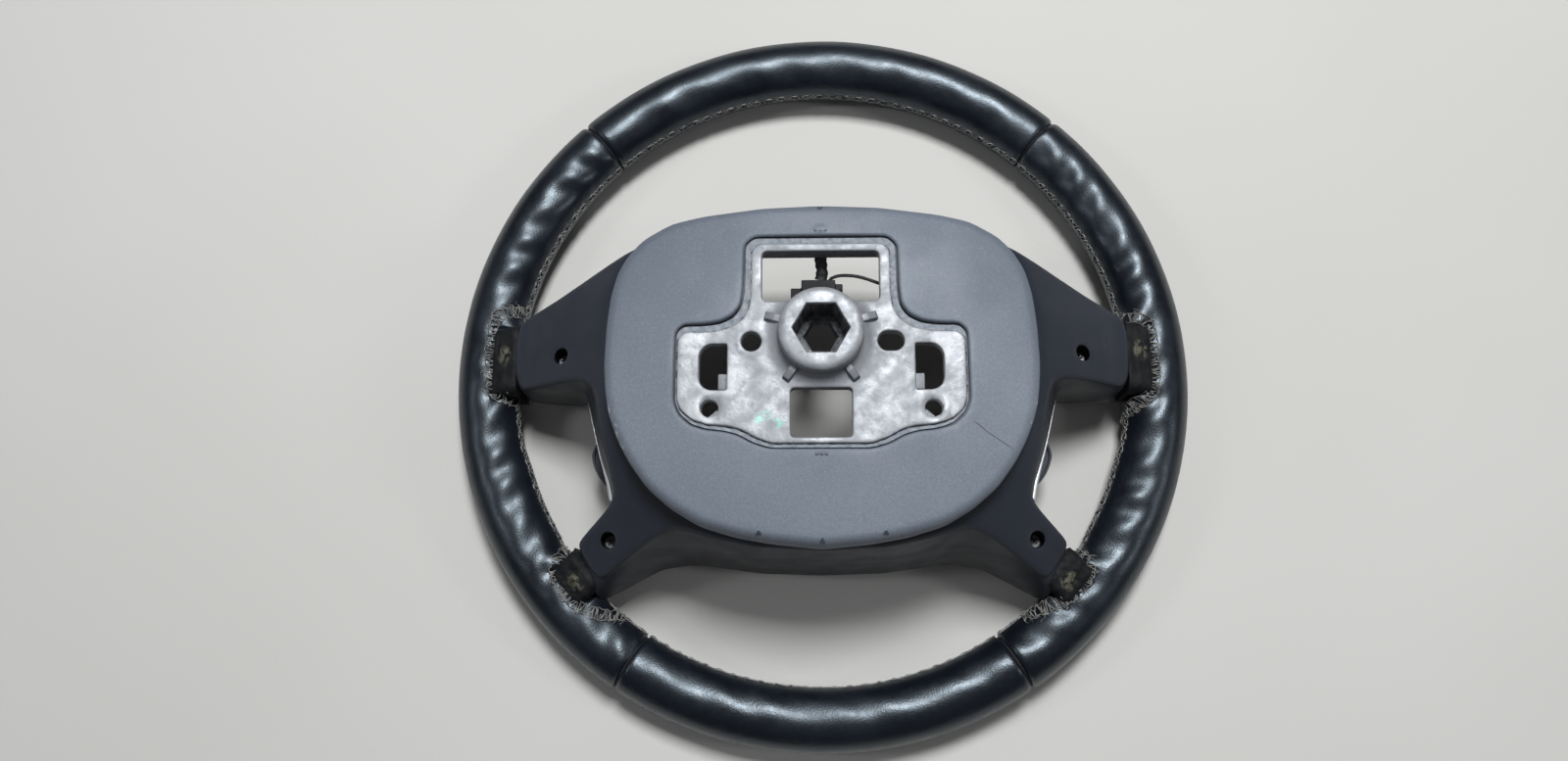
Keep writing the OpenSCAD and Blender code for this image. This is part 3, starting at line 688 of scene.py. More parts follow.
def leather_panel(name, a0, a1, grip, paint):
    around = 116
    phi = np.linspace(0, 2 * math.pi, around, endpoint=False)
    half_gap, w = 0.17, 3.0
    length = rad(a1 - a0 - 2 * half_gap) * RIM_R
    ease = w * (1 - np.cos(np.linspace(0, math.pi / 2, 9)))
    middle = np.linspace(w, length - w, int((length - 2 * w) / 0.8))
    run = np.concatenate([ease, middle[1:-1], (length - ease)[::-1]])
    d = np.minimum(run, length - run)
    drop = np.where(d < w, 1 - np.sqrt(np.clip(1 - (1 - d / w) ** 2, 0, 1)), 0)
    a = rad(a0 + half_gap) + run / RIM_R
    r = leather_radius(a[:, None], phi[None], grip)
    r = r - (r - FOAM_R - 0.05) * drop[:, None]
    outer = rim_point(a[:, None], phi[None], r)
    pick = np.unique(np.linspace(0, len(a) - 1, 46).astype(int))
    inner = rim_point(a[pick][:, None], phi[None], FOAM_R + 0.03)
    shape = Shape()
    shape.grid(outer)
    shape.grid(inner)
    shape.grid([outer[0], inner[0]])
    shape.grid([outer[-1], inner[-1]])
    return piece(name, shape, paint, name, sharp=70)


def make_leather(paint):
    leather_panel("leather_top", UPPER_A, 180 - UPPER_A, False, paint)
    leather_panel("leather_left", 180 - UPPER_A, 180 + LOWER_A, True, paint)
    leather_panel("leather_right", -LOWER_A, UPPER_A, True, paint)
    leather_panel("leather_bottom", 180 + LOWER_A, 360 - LOWER_A, False, paint)


def root_frame(side, root):
    """Turns (along the spoke, across, height) of a root into a point of the frame."""
    c, s = math.cos(rad(root[0])), math.sin(rad(root[0]))

    def place(u, v, z):
        return np.array([side * (u * c - v * s), u * s + v * c, z])
    return place


def make_foam(paint):
    shape = Shape()
    a = np.linspace(0, 2 * math.pi, 500, endpoint=False)
    phi = np.linspace(0, 2 * math.pi, 60, endpoint=False)
    shape.grid(rim_point(a[:, None], phi[None], FOAM_R), loop=True)
    rng = random.Random(7)
    for side in (1, -1):
        for root, u0 in ((UPPER_ROOT, 154.2), (LOWER_ROOT, 151.5)):
            place = root_frame(side, root)
            rows = []
            for u in np.arange(u0, 172.3, 0.8):
                top = np.interp(u, [u0, 156.5, 161, 165.5, 169.5, 172.5],
                                [40.6, 40.0, 37.6, 33.6, 30.6, 29.8])
                top += 0.35 * math.sin(u * 1.1 + side)
                half = root[2] / 2 + 0.2 + rng.uniform(-0.25, 0.25)
                r = 5.6
                row = [place(u, root[1] - half, 10)]
                for v in np.linspace(-1, 1, 25):
                    lump = 0.30 * math.sin(v * 9 + u * 0.6) + 0.22 * math.sin(v * 17 - u * 0.9 + side)
                    edge = max(0.0, abs(v) * half - (half - r))
                    fall = r - math.sqrt(max(0.0, r * r - edge * edge))
                    row.append(place(u, root[1] + v * half, top - fall + lump * (1 - abs(v))))
                row.append(place(u, root[1] + half, 10))
                rows.append(row)
            shape.grid(rows, caps=True)
    piece("rim_foam_visual", shape, paint, "rim_foam", sharp=60)


def seam_spans():
    """Angles (degrees) that the closing seam runs along, between joints and spoke roots."""
    def root_span(root):
        seam_r = RIM_R - SEC_R
        mid = root[0] + math.degrees(math.asin(root[1] / seam_r))
        half = math.degrees(math.asin((root[2] / 2 + 2) / seam_r))
        return mid - half, mid + half
    up, low = root_span(UPPER_ROOT), root_span(LOWER_ROOT)
    right = [(up[1], UPPER_A), (low[1], up[0]), (-LOWER_A, low[0])]
    left = [(180 - b, 180 - a) for a, b in right]
    return right + left + [(UPPER_A, 180 - UPPER_A), (180 + LOWER_A, 360 - LOWER_A)]


def make_seam(paint):
    rng = random.Random(11)
    shape = Shape()

    def strand(points, r):
        a, across, lift = np.array(points).T
        phi = seam_angle(a) - across / SEC_R
        shape.tube(smooth_path(rim_point(a, phi, leather_radius(a, phi, True) + lift), 0.8), r, 5)

    pitch = 7.2
    for a0, a1 in seam_spans():
        reach = RIM_R - SEC_R
        count = max(1, int(round(rad(a1 - a0) * reach / pitch)))
        step = rad(a1 - a0) / count
        for edge in (1, -1):
            points = []
            for i in range(count * 4):
                wide = (0.9, 2.1, 0.9, -1.3)[i % 4] * edge + rng.uniform(-0.3, 0.3)
                points.append((rad(a0) + (i + 0.5 + rng.uniform(-0.15, 0.15)) * step / 4, wide,
                               0.30 if edge * wide > 0 else 0.12))
            strand(points, 0.27)
        for i in range(count):
            a = rad(a0) + (i + 0.2 + rng.uniform(-0.08, 0.08)) * step
            strand([(a, 2.6, -0.25), (a + 0.10 * step, 1.2, 0.45), (a + 0.22 * step, -1.2, 0.45),
                    (a + 0.30 * step, -2.6, -0.25)], 0.24)
    piece("seam_thread_visual", shape, paint, "seam_thread", sharp=80)


def on_rim(x, y, lift):
    """Lifts a plan point onto the back of the rim; inside the rim it slides down the inner side."""
    reach = math.hypot(x, y)
    a = math.atan2(y, x)
    c = (reach - RIM_R) / SEC_R
    if c > -0.94:
        phi = math.acos(max(-1, min(1, c)))
    else:
        phi = math.acos(-0.94) + min(0.9, (-0.94 - c) * 2.2)
    return rim_point(a, phi, max(SEC_R - 0.3, float(leather_radius(a, phi, True))) + lift)


def make_lacing(name, side, root, paint, seed, path):
    """Ragged lacing round a spoke root: ladder strands, two crinkled rails and frays."""
    rng = random.Random(seed)
    place = root_frame(side, root)
    half = root[2] / 2 + 1
    dense = smooth_path([(u, v, 0) for u, v in path], 0.9)[:, :2]
    run = np.concatenate([[0], np.cumsum(np.linalg.norm(np.diff(dense, axis=0), axis=1))])
    shape = Shape()

    def at(s, out, lift):
        """A point at a length along the path, off to the leather (+) or the foam (-)."""
        s = min(max(s, 0.01), run[-1] - 0.01)
        u, v = np.interp(s, run, dense[:, 0]), np.interp(s, run, dense[:, 1])
        du = np.interp(s + 0.6, run, dense[:, 0]) - np.interp(s - 0.6, run, dense[:, 0])
        dv = np.interp(s + 0.6, run, dense[:, 1]) - np.interp(s - 0.6, run, dense[:, 1])
        size = math.hypot(du, dv) + 1e-9
        u, v = u + out * dv / size, v - out * du / size
        x, y, _ = place(u, v, 0)
        q = on_rim(x, y, lift)
        if out < -0.3 and u < 167:
            top = np.interp(u, [156.5, 161, 165.5, 169.5], [40.0, 37.6, 33.6, 30.6])
            q[2] = max(q[2], top - 2.4) if abs(v - root[1]) < half - 1.5 else q[2]
        return q

    def strand(points, r, tip=None):
        way = smooth_path(points, 0.7)
        shape.tube(way, r, 5, radii=np.linspace(r, r if tip is None else tip, len(way)))

    # ladder strands and a wide zigzag over the cut edge
    s = 0.8
    while s < run[-1] - 0.8:
        lean, near, far = rng.uniform(-1.3, 1.3), rng.uniform(-2.8, -1.6), rng.uniform(2.4, 3.8)
        strand([at(s + lean, near, 0.1), at(s + lean * 0.5, near * 0.4, 0.8), at(s, 0.8, 0.9),
                at(s - lean * 0.5, far * 0.7, 0.6), at(s - lean, far, 0.1)], rng.uniform(0.17, 0.23))
        s += rng.choice([0.7, 1.6, 2.2, 2.8])
    s, out, points = 1.0, True, []
    while s < run[-1]:
        points.append(at(s, (3.4 if out else -1.8) + rng.uniform(-0.6, 0.6), 0.25))
        points.append(at(s + 1.0, 0.9 + rng.uniform(-0.4, 0.4), 1.0))
        s += rng.uniform(2.0, 3.2)
        out = not out
    strand(points, 0.24)
    # crinkled threads along it
    for out, sway, lift, r in ((-1.9, 0.5, 0.4, 0.19), (3.0, 0.7, 0.5, 0.23)):
        points, s = [], rng.uniform(0, 2)
        while s < run[-1]:
            points.append(at(s, out + rng.uniform(-sway, sway), lift + rng.uniform(-0.2, 0.5)))
            s += rng.uniform(0.9, 1.9)
        strand(points, r)
    for _ in range(14):
        s = rng.choice([rng.uniform(0, run[-1]), rng.uniform(0, 8), rng.uniform(run[-1] - 8, run[-1])])
        out = rng.uniform(1.5, 3.5)
        points = [at(s, out - 2.5, 0.6)]
        for _ in range(4):
            s += rng.uniform(-1.6, 1.6)
            out += rng.uniform(0.1, 0.9)
            points.append(at(s, out, rng.uniform(0.3, 1.3)))
        strand(points, 0.22, 0.08)
    piece(name + "_visual", shape, paint, name, sharp=80)


# ---------------------------------------------------------------- covers

HUB_HALF = [(0, 64), (27, 63), (55, 59.5), (70, 56), (83, 48.5), (90, 41), (95, 32), (98, 20), (99.5, 5),
            (100, -13), (99, -25.5), (97, -36), (92.7, -47.4), (87, -58), (78.5, -69.5), (68, -78.5),
            (55, -86.3), (38, -91.5), (22, -94.3), (0, -96.5)]
OPENING_HALF = [(0, 47.1), (31, 47.1), (35.4, 43), (35.6, 22), (36.5, 14), (40, 9), (46, 6), (54, 5),
                (63, 5), (66.6, 1.5), (66.9, -31), (64.5, -37), (59, -42), (52, -44.2), (43, -45.2),
                (37, -47), (31, -50.5), (23, -53), (0, -53)]
PLATE_HALF = [(0, 43.3), (28.5, 43.3), (31.9, 40), (31.9, 20), (32.8, 13), (35.5, 7.5), (40.5, 3.6),
              (47, 1.7), (54, 1.2), (62, 1.2), (65.3, -2), (65.3, -30), (63.5, -35), (58, -39.5),
              (51.5, -41.6), (42, -42.5), (36, -44), (30, -47.5), (22.5, -50.3), (0, -50.3)]
# Right half of the four-spoke cover: x and y of the top edge, then x, y and z of the wall's foot
STAR_HALF = [(0, 60.5, 0, 62.5, 45.8), (27, 59.5, 27, 61.5, 45.8), (55, 56, 55, 58, 45.8),
             (58.5, 55.2, 58.5, 57, 45.8), (60.5, 54.8, 60.5, 56.5, 20), (70, 52.6, 70, 54.5, 20),
             (86, 47.4, 86.5, 49, 20), (101, 41.6, 101.7, 43, 20),
             (117, 35, 117.6, 36.2, 20), (130, 30, 130.6, 31.3, 20), (143, 26, 143.5, 27.3, 20),
             (151, 22.8, 152.3, 23.2, 20.2), (153.2, 19.4, 154.2, 19.6, 38.6), (154, 11.7, 154.4, 11.7, 39.2),
             (153.4, -4.8, 154, -4.8, 39.2), (151, -11.4, 152.2, -12, 38.8), (149, -13.6, 149.8, -15, 20.2),
             (137, -13.9, 137, -16, 20), (125, -14.1, 124.6, -16.6, 20), (114.5, -15.2, 118, -17.6, 28),
             (108.8, -18.2, 115.9, -19.6, 46), (106.4, -25, 114, -26.5, 46), (105.2, -33, 112.3, -34, 46),
             (103.4, -42, 110, -42.5, 46), (101.2, -51.5, 107, -52, 46), (98.6, -61.5, 103.8, -61, 46),
             (97.4, -68.5, 102.4, -68.6, 46), (99.6, -73.4, 102.6, -72.0, 34), (106, -79.2, 107.2, -78, 20),
             (112.6, -84.6, 113.6, -83.4, 20), (118.4, -89.8, 119.8, -89, 20.2),
             (117.6, -93.4, 118.9, -92.8, 38.8),
             (112.4, -101.6, 113.6, -102.2, 39), (108.4, -106.6, 111.8, -112.0, 36),
             (105.2, -106.4, 110.0, -117.4, 24), (98.4, -102.2, 99.5, -111.5, 20),
             (89, -96.4, 90, -106.3, 20),
             (79.7, -90.6, 80, -101, 20), (69, -86.4, 65, -98.7, 20), (60, -88.2, 56, -99.3, 20),
             (48, -91.6, 46, -100.8, 20), (30, -95.4, 30, -103, 20), (0, -97, 0, -104, 20)]
SCREWS = [(126.0, -0.45, 53.0), (135.3, -41.4, 46.0)]


def screw_places():
    for side in (1, -1):
        for r, a, floor in SCREWS:
            yield side, r * math.cos(rad(a)) * side, r * math.sin(rad(a)), floor


def spoke_height(x, y):
    """Height of the four-spoke cover's top surface."""
    r = np.hypot(x, y)
    t = (r - 100) / 52
    soft = 0.10
    lower = np.where(t < -soft, 0, np.where(t < soft, (t + soft) ** 2 / (4 * soft), t))
    t = lower - np.where(lower > 1 - soft, np.where(lower < 1 + soft, (lower - 1 + soft) ** 2 / (4 * soft),
                                                    lower - 1), 0)
    return 88 - 44 * t


def star_rows():
    right = [list(q) for q in STAR_HALF]
    left = [[-q[0], q[1], -q[2], q[3], q[4]] for q in right[-2:0:-1]]
    return soften(np.array(right + left)[::-1], 1.15, 5)


def circle(x, y, r, n=40):
    t = np.linspace(0, 2 * math.pi, n, endpoint=False)
    return np.column_stack([x + r * np.cos(t), y + r * np.sin(t)])


def make_spoke_cover(paint):
    rows = star_rows()
    top, foot = rows[:, :2], rows[:, 2:]
    r, wall = 2.6, 2.2
    shape = Shape()
    ledge = offset(soften(mirrored(HUB_HALF), 2.2, 3), 8.5)
    wells = [(circle(x, y, 3.8), floor) for _, x, y, floor in screw_places()]

    def ring(loop, d, drop):
        q = level(offset(loop, d), spoke_height)
        q[:, 2] -= drop
        return q

    outer = [ring(top, d, drop) for d, drop in quarter(r, 6)]
    last = outer[-1]
    for t in np.linspace(0, 1, 10)[1:]:
        bow = 0.35 * math.sin(math.pi * t)
        mid = last * (1 - t) + foot * t
        mid[:, :2] = offset(mid, -bow)
        outer.append(mid)
    shape.grid(outer)
    inner_top = ring(top, wall + 0.6, wall)
    inner_foot = np.column_stack([offset(foot, wall), foot[:, 2]])
    shape.grid([foot, inner_foot, inner_top * 0.35 + inner_foot * 0.65, inner_top])
    fill_top = offset(top, r)
    well_tops = [offset(loop, -0.5) for loop, _ in wells]
    fill(shape, fill_top, [ledge] + well_tops, spoke_height, 2.6)
    fill(shape, inner_top, [ledge] + [offset(loop, -1.6) for loop, _ in wells],
         lambda x, y: spoke_height(x, y) - wall, 5.0)
    shape.grid([level(ledge, spoke_height), level(ledge, lambda x, y: spoke_height(x, y) - wall)])
    for loop, floor in wells:
        high = lambda x, y: spoke_height(x, y)
        rings = [level(offset(loop, -0.5), high), level(offset(loop, -0.2), lambda x, y: high(x, y) - 0.15),
                 level(loop, lambda x, y: high(x, y) - 0.55), level(loop, floor)]
        shape.grid(rings)
        shape.grid([level(loop, floor), level(offset(loop, 1.75), floor - 0.2),
                    level(offset(loop, 1.75), floor - 1.8), level(offset(loop, -1.6), floor - 1.8),
                    level(offset(loop, -1.6), lambda x, y: high(x, y) - wall)])
    piece("rear_spoke_cover_visual", shape, paint, "rear_spoke_cover", sharp=42)


def dome(x, y):
    return 104 - (np.square(x) + np.square(y + 16)) / 1400


def make_hub_cover(paint):
    shape = Shape()
    outer = soften(mirrored(HUB_HALF), 1.2, 10)
    edge = offset(soften(mirrored(OPENING_HALF), 0.9, 7), 0)
    plate = offset(soften(mirrored(PLATE_HALF), 0.9, 4), -0.25)
    r, wall, r_in = 4.6, 2.5, 1.3

    def ring(loop, d, drop):
        q = level(offset(loop, d), dome)
        q[:, 2] -= drop
        return q

    rings = []
    for d, drop in quarter(r, 9):
        q = level(offset(outer, d), dome)
        share = drop / r
        q[:, 2] = q[:, 2] * (1 - share) + 92.0 * share
        rings.append(q)
    rings += [level(outer, 90.3), level(outer, 88.05)]
    shape.grid(rings)
    inner = offset(outer, wall)
    deep = [level(outer, 88.05), level(inner, 88.05), level(inner, 91.0), ring(outer, r + 1.6, wall)]
    shape.grid(deep)
    nubs = lambda x, y: dome(x, y) + 0.9 * (np.exp(-((x / 2.6) ** 4) - ((y - 50.2) / 1.0) ** 4)
                                            + np.exp(-((x / 2.2) ** 4) - ((y + 55.8) / 1.0) ** 4))
    fill(shape, offset(outer, r), [offset(edge, -r_in)], nubs, 2.2)
    shape.grid([ring(edge, -d, drop) for d, drop in quarter(r_in, 5)] + [level(edge, 98.3)])
    shape.grid([level(edge, 98.3), level(offset(edge, 0.75), 98.3), level(offset(edge, 0.9), 99.3)])
    lip_out = offset(edge, 0.9)
    lip_in = plate.copy()
    t = np.arange(len(lip_in))
    lip_in = offset(lip_in, 0.15 * np.sin(t * 0.7)[:, None] + 0.12 * np.sin(t * 1.9)[:, None])
    rough = lambda x, y: 99.3 + 0.22 * np.sin(x * 1.3 + y * 0.4) + 0.18 * np.sin(y * 1.7 - x * 0.5)
    band = level(lip_in, rough)
    fill(shape, lip_out, [band], lambda x, y: np.where(inside_band(x, y, lip_out), 99.3, rough(x, y)), 1.1)
    under = 97.2
    shape.grid([band, level(lip_in, under)])
    fill(shape, offset(edge, -0.02), [lip_in], under, 4.0)
    shape.grid([level(offset(edge, -0.02), under), level(offset(edge, -wall), under),
                ring(edge, -wall - 0.6, wall)])
    fill(shape, offset(outer, r + 1.6), [offset(edge, -wall - 0.6)], lambda x, y: dome(x, y) - wall, 5.0)
    piece("rear_hub_cover_visual", shape, paint, "rear_hub_cover", sharp=48)


def make_marks(paint, grey):
    """Small sunk triangles of dark plastic inside the cover's edge, and two rows of moulded nubs."""
    shape = Shape()
    for x, y, turn in ((0, 60.6, -1), (0, -93.2, 1), (28, -89.6, 1), (-28, -89.6, 1)):
        tri = [(x - 1.3, y - turn * 1.0), (x + 1.3, y - turn * 1.0), (x, y + turn * 1.4)]
        shape.grid([[(a, b, float(dome(a, b)) + up) for a, b in tri] for up in (-2.2, -0.08)], caps=True)
    piece("cover_marks", shape, paint)
    nubs = Shape()
    for y in (49.6, -55.4):
        for x in (-2.1, 0, 2.1):
            z = float(dome(x, y))
            box_loft(nubs, [((x, y, z - 1.0), (0.8, 0, 0), (0, 0.7, 0)),
                            ((x, y, z + 0.3), (0.8, 0, 0), (0, 0.7, 0)),
                            ((x, y, z + 0.75), (0.35, 0, 0), (0, 0.3, 0))], 0.2)
    piece("cover_nubs", nubs, grey)


def inside_band(x, y, loop):
    """True for points that are on the outline itself."""
    pts = np.column_stack([np.ravel(x), np.ravel(y)])
    gap = np.array([np.min(np.hypot(loop[:, 0] - q[0], loop[:, 1] - q[1])) for q in pts])
    return gap < 0.02


# ---------------------------------------------------------------- casting

def hexagon(corner_r, n, turn=0.0):
    """n points on a hexagon with a corner on +X, evenly spread in angle."""
    t = np.linspace(0, 360, n, endpoint=False)
    local = (t - turn) % 60 - 30
    r = corner_r * math.cos(rad(30)) / np.cos(np.radians(local))
    return t, r


def polar(t, r, z):
    return np.column_stack([r * np.cos(np.radians(t)), r * np.sin(np.radians(t)),
                            np.broadcast_to(z, np.shape(t))])


def arc(cx, cy, r, a0, a1, steps):
    return [(cx + r * math.cos(rad(a)), cy + r * math.sin(rad(a))) for a in np.linspace(a0, a1, steps)]


def rect(x0, y0, x1, y1, r, step=0.9):
    corners = [(x1 - r, y1 - r), (x0 + r, y1 - r), (x0 + r, y0 + r), (x1 - r, y0 + r)]
    pts = []
    for k, (cx, cy) in enumerate(corners):
        pts += arc(cx, cy, r, 90 * k, 90 * k + 90, 6)
    return soften(np.array(pts), step, 0)


def d_window(side):
    corner_x, corner_r = 49.4, 6
    pts = [(42.6, -4.5), (42.6, -26), (corner_x, -26)]
    pts += arc(corner_x, -20, corner_r, -90, 0, 7)
    pts += arc(corner_x, -10.5, corner_r, 0, 90, 7)
    p = np.array(pts)
    if side < 0:
        p = p[::-1] * (-1, 1)
    return soften(p, 0.8, 1)


def slot_hole():
    x, y, half_shift, r = 31.8, -3.5, 1.45, 4.6
    return np.array(arc(x + half_shift, y, r, -90, 90, 17) + arc(x - half_shift, y, r, 90, 270, 17))


def plate_relief(x, y):
    """Height of the hub plate, with low pads, a fillet at the boss and teardrops at the fixing holes."""
    z = PLATE_Z + 0.0 * x
    r = np.hypot(x, y)
    z = z + 3.2 * np.square(np.clip((26.5 - r) / 7.1, 0, 1))
    for side in (1, -1):
        dx, dy = x * side - 50.4, y + 34.4
        d = np.hypot(dx, dy)
        tail = np.clip(1 - np.abs(np.degrees(np.arctan2(dy + dx * 0.25, dx))) / 75, 0, 1)
        z = (z + 0.75 * tail * np.clip((8.6 - d) / 2.2, 0, 1)
             - 0.5 * (1 - tail) * np.clip((5.6 - d) / 1.2, 0, 1))
        pad = smoothstep(7.6 - np.hypot(x * side - 31.8, (y + 3.5)), 0, 1.2)
        z = z + 0.35 * pad
    return z


def make_armature(paint):
    shape = Shape()
    plate = soften(mirrored(PLATE_HALF), 0.9, 4)
    holes = [rect(-27, 15.4, 27, 39.5, 2.4), rect(-13.9, -47.7, 13.9, -25.1, 1.6), d_window(1), d_window(-1),
             slot_hole(), circle(-31.7, -3.5, 4.6), circle(-50.4, -34.4, 4.0), circle(50.4, -34.4, 4.0)]
    foot = circle(0, 0, BOSS_R + 0.2, 144)
    top_rings, low_rings = [], []
    r, low = 0.7, PLATE_Z - 5.5

    def side_wall(loop, side):
        rings = []
        for d, drop in quarter(r, 4):
            q = level(offset(loop, side * d), plate_relief)
            q[:, 2] -= drop
            rings.append(q)
        rings.append(level(loop, low))
        shape.grid(rings)
        top_rings.append(offset(loop, side * r))
        low_rings.append(loop)

    side_wall(plate, 1)
    for hole in holes:
        side_wall(hole, -1)
    fill(shape, top_rings[0], top_rings[1:] + [foot], plate_relief, 1.5)
    inner = circle(0, 0, 12.0, 48)
    fill(shape, low_rings[0], low_rings[1:] + [inner], low, 4.0)
    # skirt under the plate's edge
    skirt = offset(plate, 0.5)
    shape.grid([level(skirt, low + 0.4), level(skirt, 89.4), level(offset(skirt, 0.4), 89.0),
                level(offset(skirt, 2.4), 89.0), level(offset(skirt, 2.8), 89.4),
                level(offset(skirt, 2.8), low + 0.4)],
               loop=True)
    make_boss(shape, foot)
    for a in (18.5, 161.5, -53, -127):
        c, s = math.cos(rad(a)), math.sin(rad(a))
        stations = []
        for q, h in ((17.5, 105.0), (20.2, 104.8), (23.5, 104.2), (26.3, 103.4), (26.9, 102.4)):
            stations.append(((q * c, q * s, (h + 98) / 2), (-s * 1.75, c * 1.75, 0), (0, 0, (h - 98) / 2)))
        box_loft(shape, stations, 0.45)
    for side in (1, -1):
        box_loft(shape, [((side * 41.0, -20.2, 90.6), (0, 3.7, 0), (0, 0, 0.95)),
                         ((side * 47.0, -20.2, 90.6), (0, 3.7, 0), (0, 0, 0.95)),
                         ((side * 47.3, -20.2, 90.6), (0, 3.4, 0), (0, 0, 0.7))], 0.4)
        box_loft(shape, [((side * 41.6, -20.2, 89.8), (0, 3.7, 0), (0.9, 0, 0)),
                         ((side * 41.6, -20.2, 96.0), (0, 3.7, 0), (0.9, 0, 0))], 0.3)
        make_arms(shape, side)
    piece("armature_visual", shape, paint, "armature", sharp=40)


def make_boss(shape, foot):
    n = 144
    t = np.linspace(0, 360, n, endpoint=False)
    outer = [level(foot, plate_relief)]
    for r, z in ((19.55, 105.2), (BOSS_R, 107), (BOSS_R, 109.3), (19.2, 110.3), (18.6, 111.1), (17.7, 111.65),
                 (16.6, 111.9), (15.4, BOSS_Z)):
        outer.append(polar(t, r, z))
    _, hex_r = hexagon(13.1, n)
    outer.append(polar(t, hex_r * 0.5 + 15.4 * 0.5, BOSS_Z))
    outer.append(polar(t, hex_r + 0.35, BOSS_Z - 0.05))
    outer.append(polar(t, hex_r, BOSS_Z - 0.4))
    local = (t % 60) / 60
    for z in np.linspace(BOSS_Z - 1.2, 97.0, 8):
        share = (BOSS_Z - z) / 15
        flute = 0.35 * np.abs(np.sin(local * math.pi * 5)) * smoothstep(share, 0.0, 0.25)
        outer.append(polar(t, hex_r * (1 - 0.10 * share) + flute - 0.2, z))
    _, small = hexagon(8.0, n)
    ledge = polar(t, hex_r * 0.88, 96.3)
    outer.append(ledge)
    outer.append(polar(t, small + 0.5, 96.0))
    outer.append(polar(t, small, 95.5))
    outer.append(polar(t, small, 88.0))
    outer.append(polar(t, 16.2, 88.0))
    outer.append(polar(t, 16.8, 88.6))
    outer.append(polar(t, 16.8, PLATE_Z - 5.4))
    shape.grid(outer)


def make_arms(shape, side):
    up = [(57, 88.6, 96, -29, 1), (66, 88.2, 96, -31, 0), (80, 72.6, 91.5, -15, 13.6),
          (92, 64.4, 79.2, -9, 14.8), (104, 56.6, 70, -8.4, 13.6), (118, 41, 51, -8, 13.2),
          (134, 40, 51, -8, 12.8), (150, 20.6, 34, -8, 12.3), (160, 13, 25, -8, 12.1), (168.9, 12, 20, -8, 12)]
    stations = []
    for r, z0, z1, y0, y1 in up:
        stations.append(((side * r, (y0 + y1) / 2, (z0 + z1) / 2),
                         (0, (y1 - y0) / 2, 0), (0, 0, (z1 - z0) / 2)))
    box_loft(shape, stations, 1.6)
    c, s = math.cos(rad(LOWER_ROOT[0])), math.sin(rad(LOWER_ROOT[0]))
    low = [(58, 88.6, 96), (66, 87.4, 96), (76, 78, 92), (88, 67.2, 80), (104, 54.6, 68), (128, 35, 44),
           (143, 31.4, 44), (152, 18.8, 33), (160, 13, 25), (168.9, 12, 20)]
    stations = []
    for r, z0, z1 in low:
        stations.append(((side * r * c, r * s, (z0 + z1) / 2),
                         (-side * s * 6, c * 6, 0), (0, 0, (z1 - z0) / 2)))
    box_loft(shape, stations, 1.6)


def make_rim_core(paint):
    shape = Shape()
    a = np.linspace(0, 2 * math.pi, 240, endpoint=False)
    phi = np.linspace(0, 2 * math.pi, 24, endpoint=False)
    shape.grid(rim_point(a[:, None], phi[None], 5.5 + 0.12 * np.sin(a * 90)[:, None]), loop=True)
    piece("rim_core_visual", shape, paint, "rim_core")


# ---------------------------------------------------------------- wiring

def taped(path, r, wrap, depth):
    """Radii that swell and dip along a path, as tape wound round a bundle does."""
    run = np.concatenate([[0], np.cumsum(np.linalg.norm(np.diff(path, axis=0), axis=1))])
    return r + depth * (np.abs((run / wrap) % 1 - 0.5) * 2 - 0.5) + 0.25 * depth * np.sin(run * 0.9)


def make_wires(tape):
    routes = {
        "harness_main": ([(0.3, 31.3, 82.3), (0.8, 35, 83.5), (0.2, 41, 84), (0, 47, 83),
                          (0, 52.4, 81)], 2.85),
        "harness_right": ([(3.2, 50, 80.5), (20, 52, 78), (42, 50.5, 74), (63, 46, 68), (79, 38, 60),
                           (91, 27, 50), (99, 16, 43), (103.4, 9.5, 39), (104, 8, 36.8)], 2.0),
        "horn_lead": ([(4.4, 30.8, 83), (6, 32, 83.8), (10.5, 32.8, 84.4), (18, 32, 84.8), (27, 29, 84.6),
                       (38, 25, 82), (52, 22.5, 78), (67, 22.5, 68), (82, 18.5, 54), (93, 7, 42),
                       (100.5, 1, 34.5), (104, 0.4, 30.9)], 0.85)}
    routes["harness_left"] = ([(-x, y, z) for x, y, z in routes["harness_right"][0]], 2.0)
    for name, (route, r) in routes.items():
        path = smooth_path(route, 0.45)
        shape = Shape()
        thin = name == "horn_lead"
        shape.tube(path, r, 10 if thin else 18, radii=taped(path, r - 0.06, 3.4, 0.03 if thin else 0.45))
        piece(name + "_visual", shape, tape, name, sharp=75)


# ---------------------------------------------------------------- the rest of the nodes

def make_small_parts(paints):
    jobs = [("loom_connector", "connector_plastic", 0.5), ("connector_latch", "connector_plastic", 0.4),
            ("cover_screws", "screw_steel", 0.15), ("lower_front_trim", "black_plastic", 0.6),
            ("bezel_left", "satin_silver", 0.6), ("bezel_right", "satin_silver", 0.6)]
    for side in ("left", "right"):
        jobs += [("switch_housing_" + side, "black_plastic", 0.3),
                 ("switch_board_" + side, "circuit_board", 0.15),
                 ("switch_mat_" + side, "switch_rubber", 0.4),
                 ("switch_plug_" + side, "connector_plastic", 0.4)]
    for name, slot, width in jobs:
        rounded_copy(name + "_visual", name, paints[slot], slot, width)
    for body in frame["bodies"]:
        if body.endswith("_button"):
            rounded_copy(body + "_visual", body, paints["button_plastic"], "button_plastic", 0.6, body, 3)


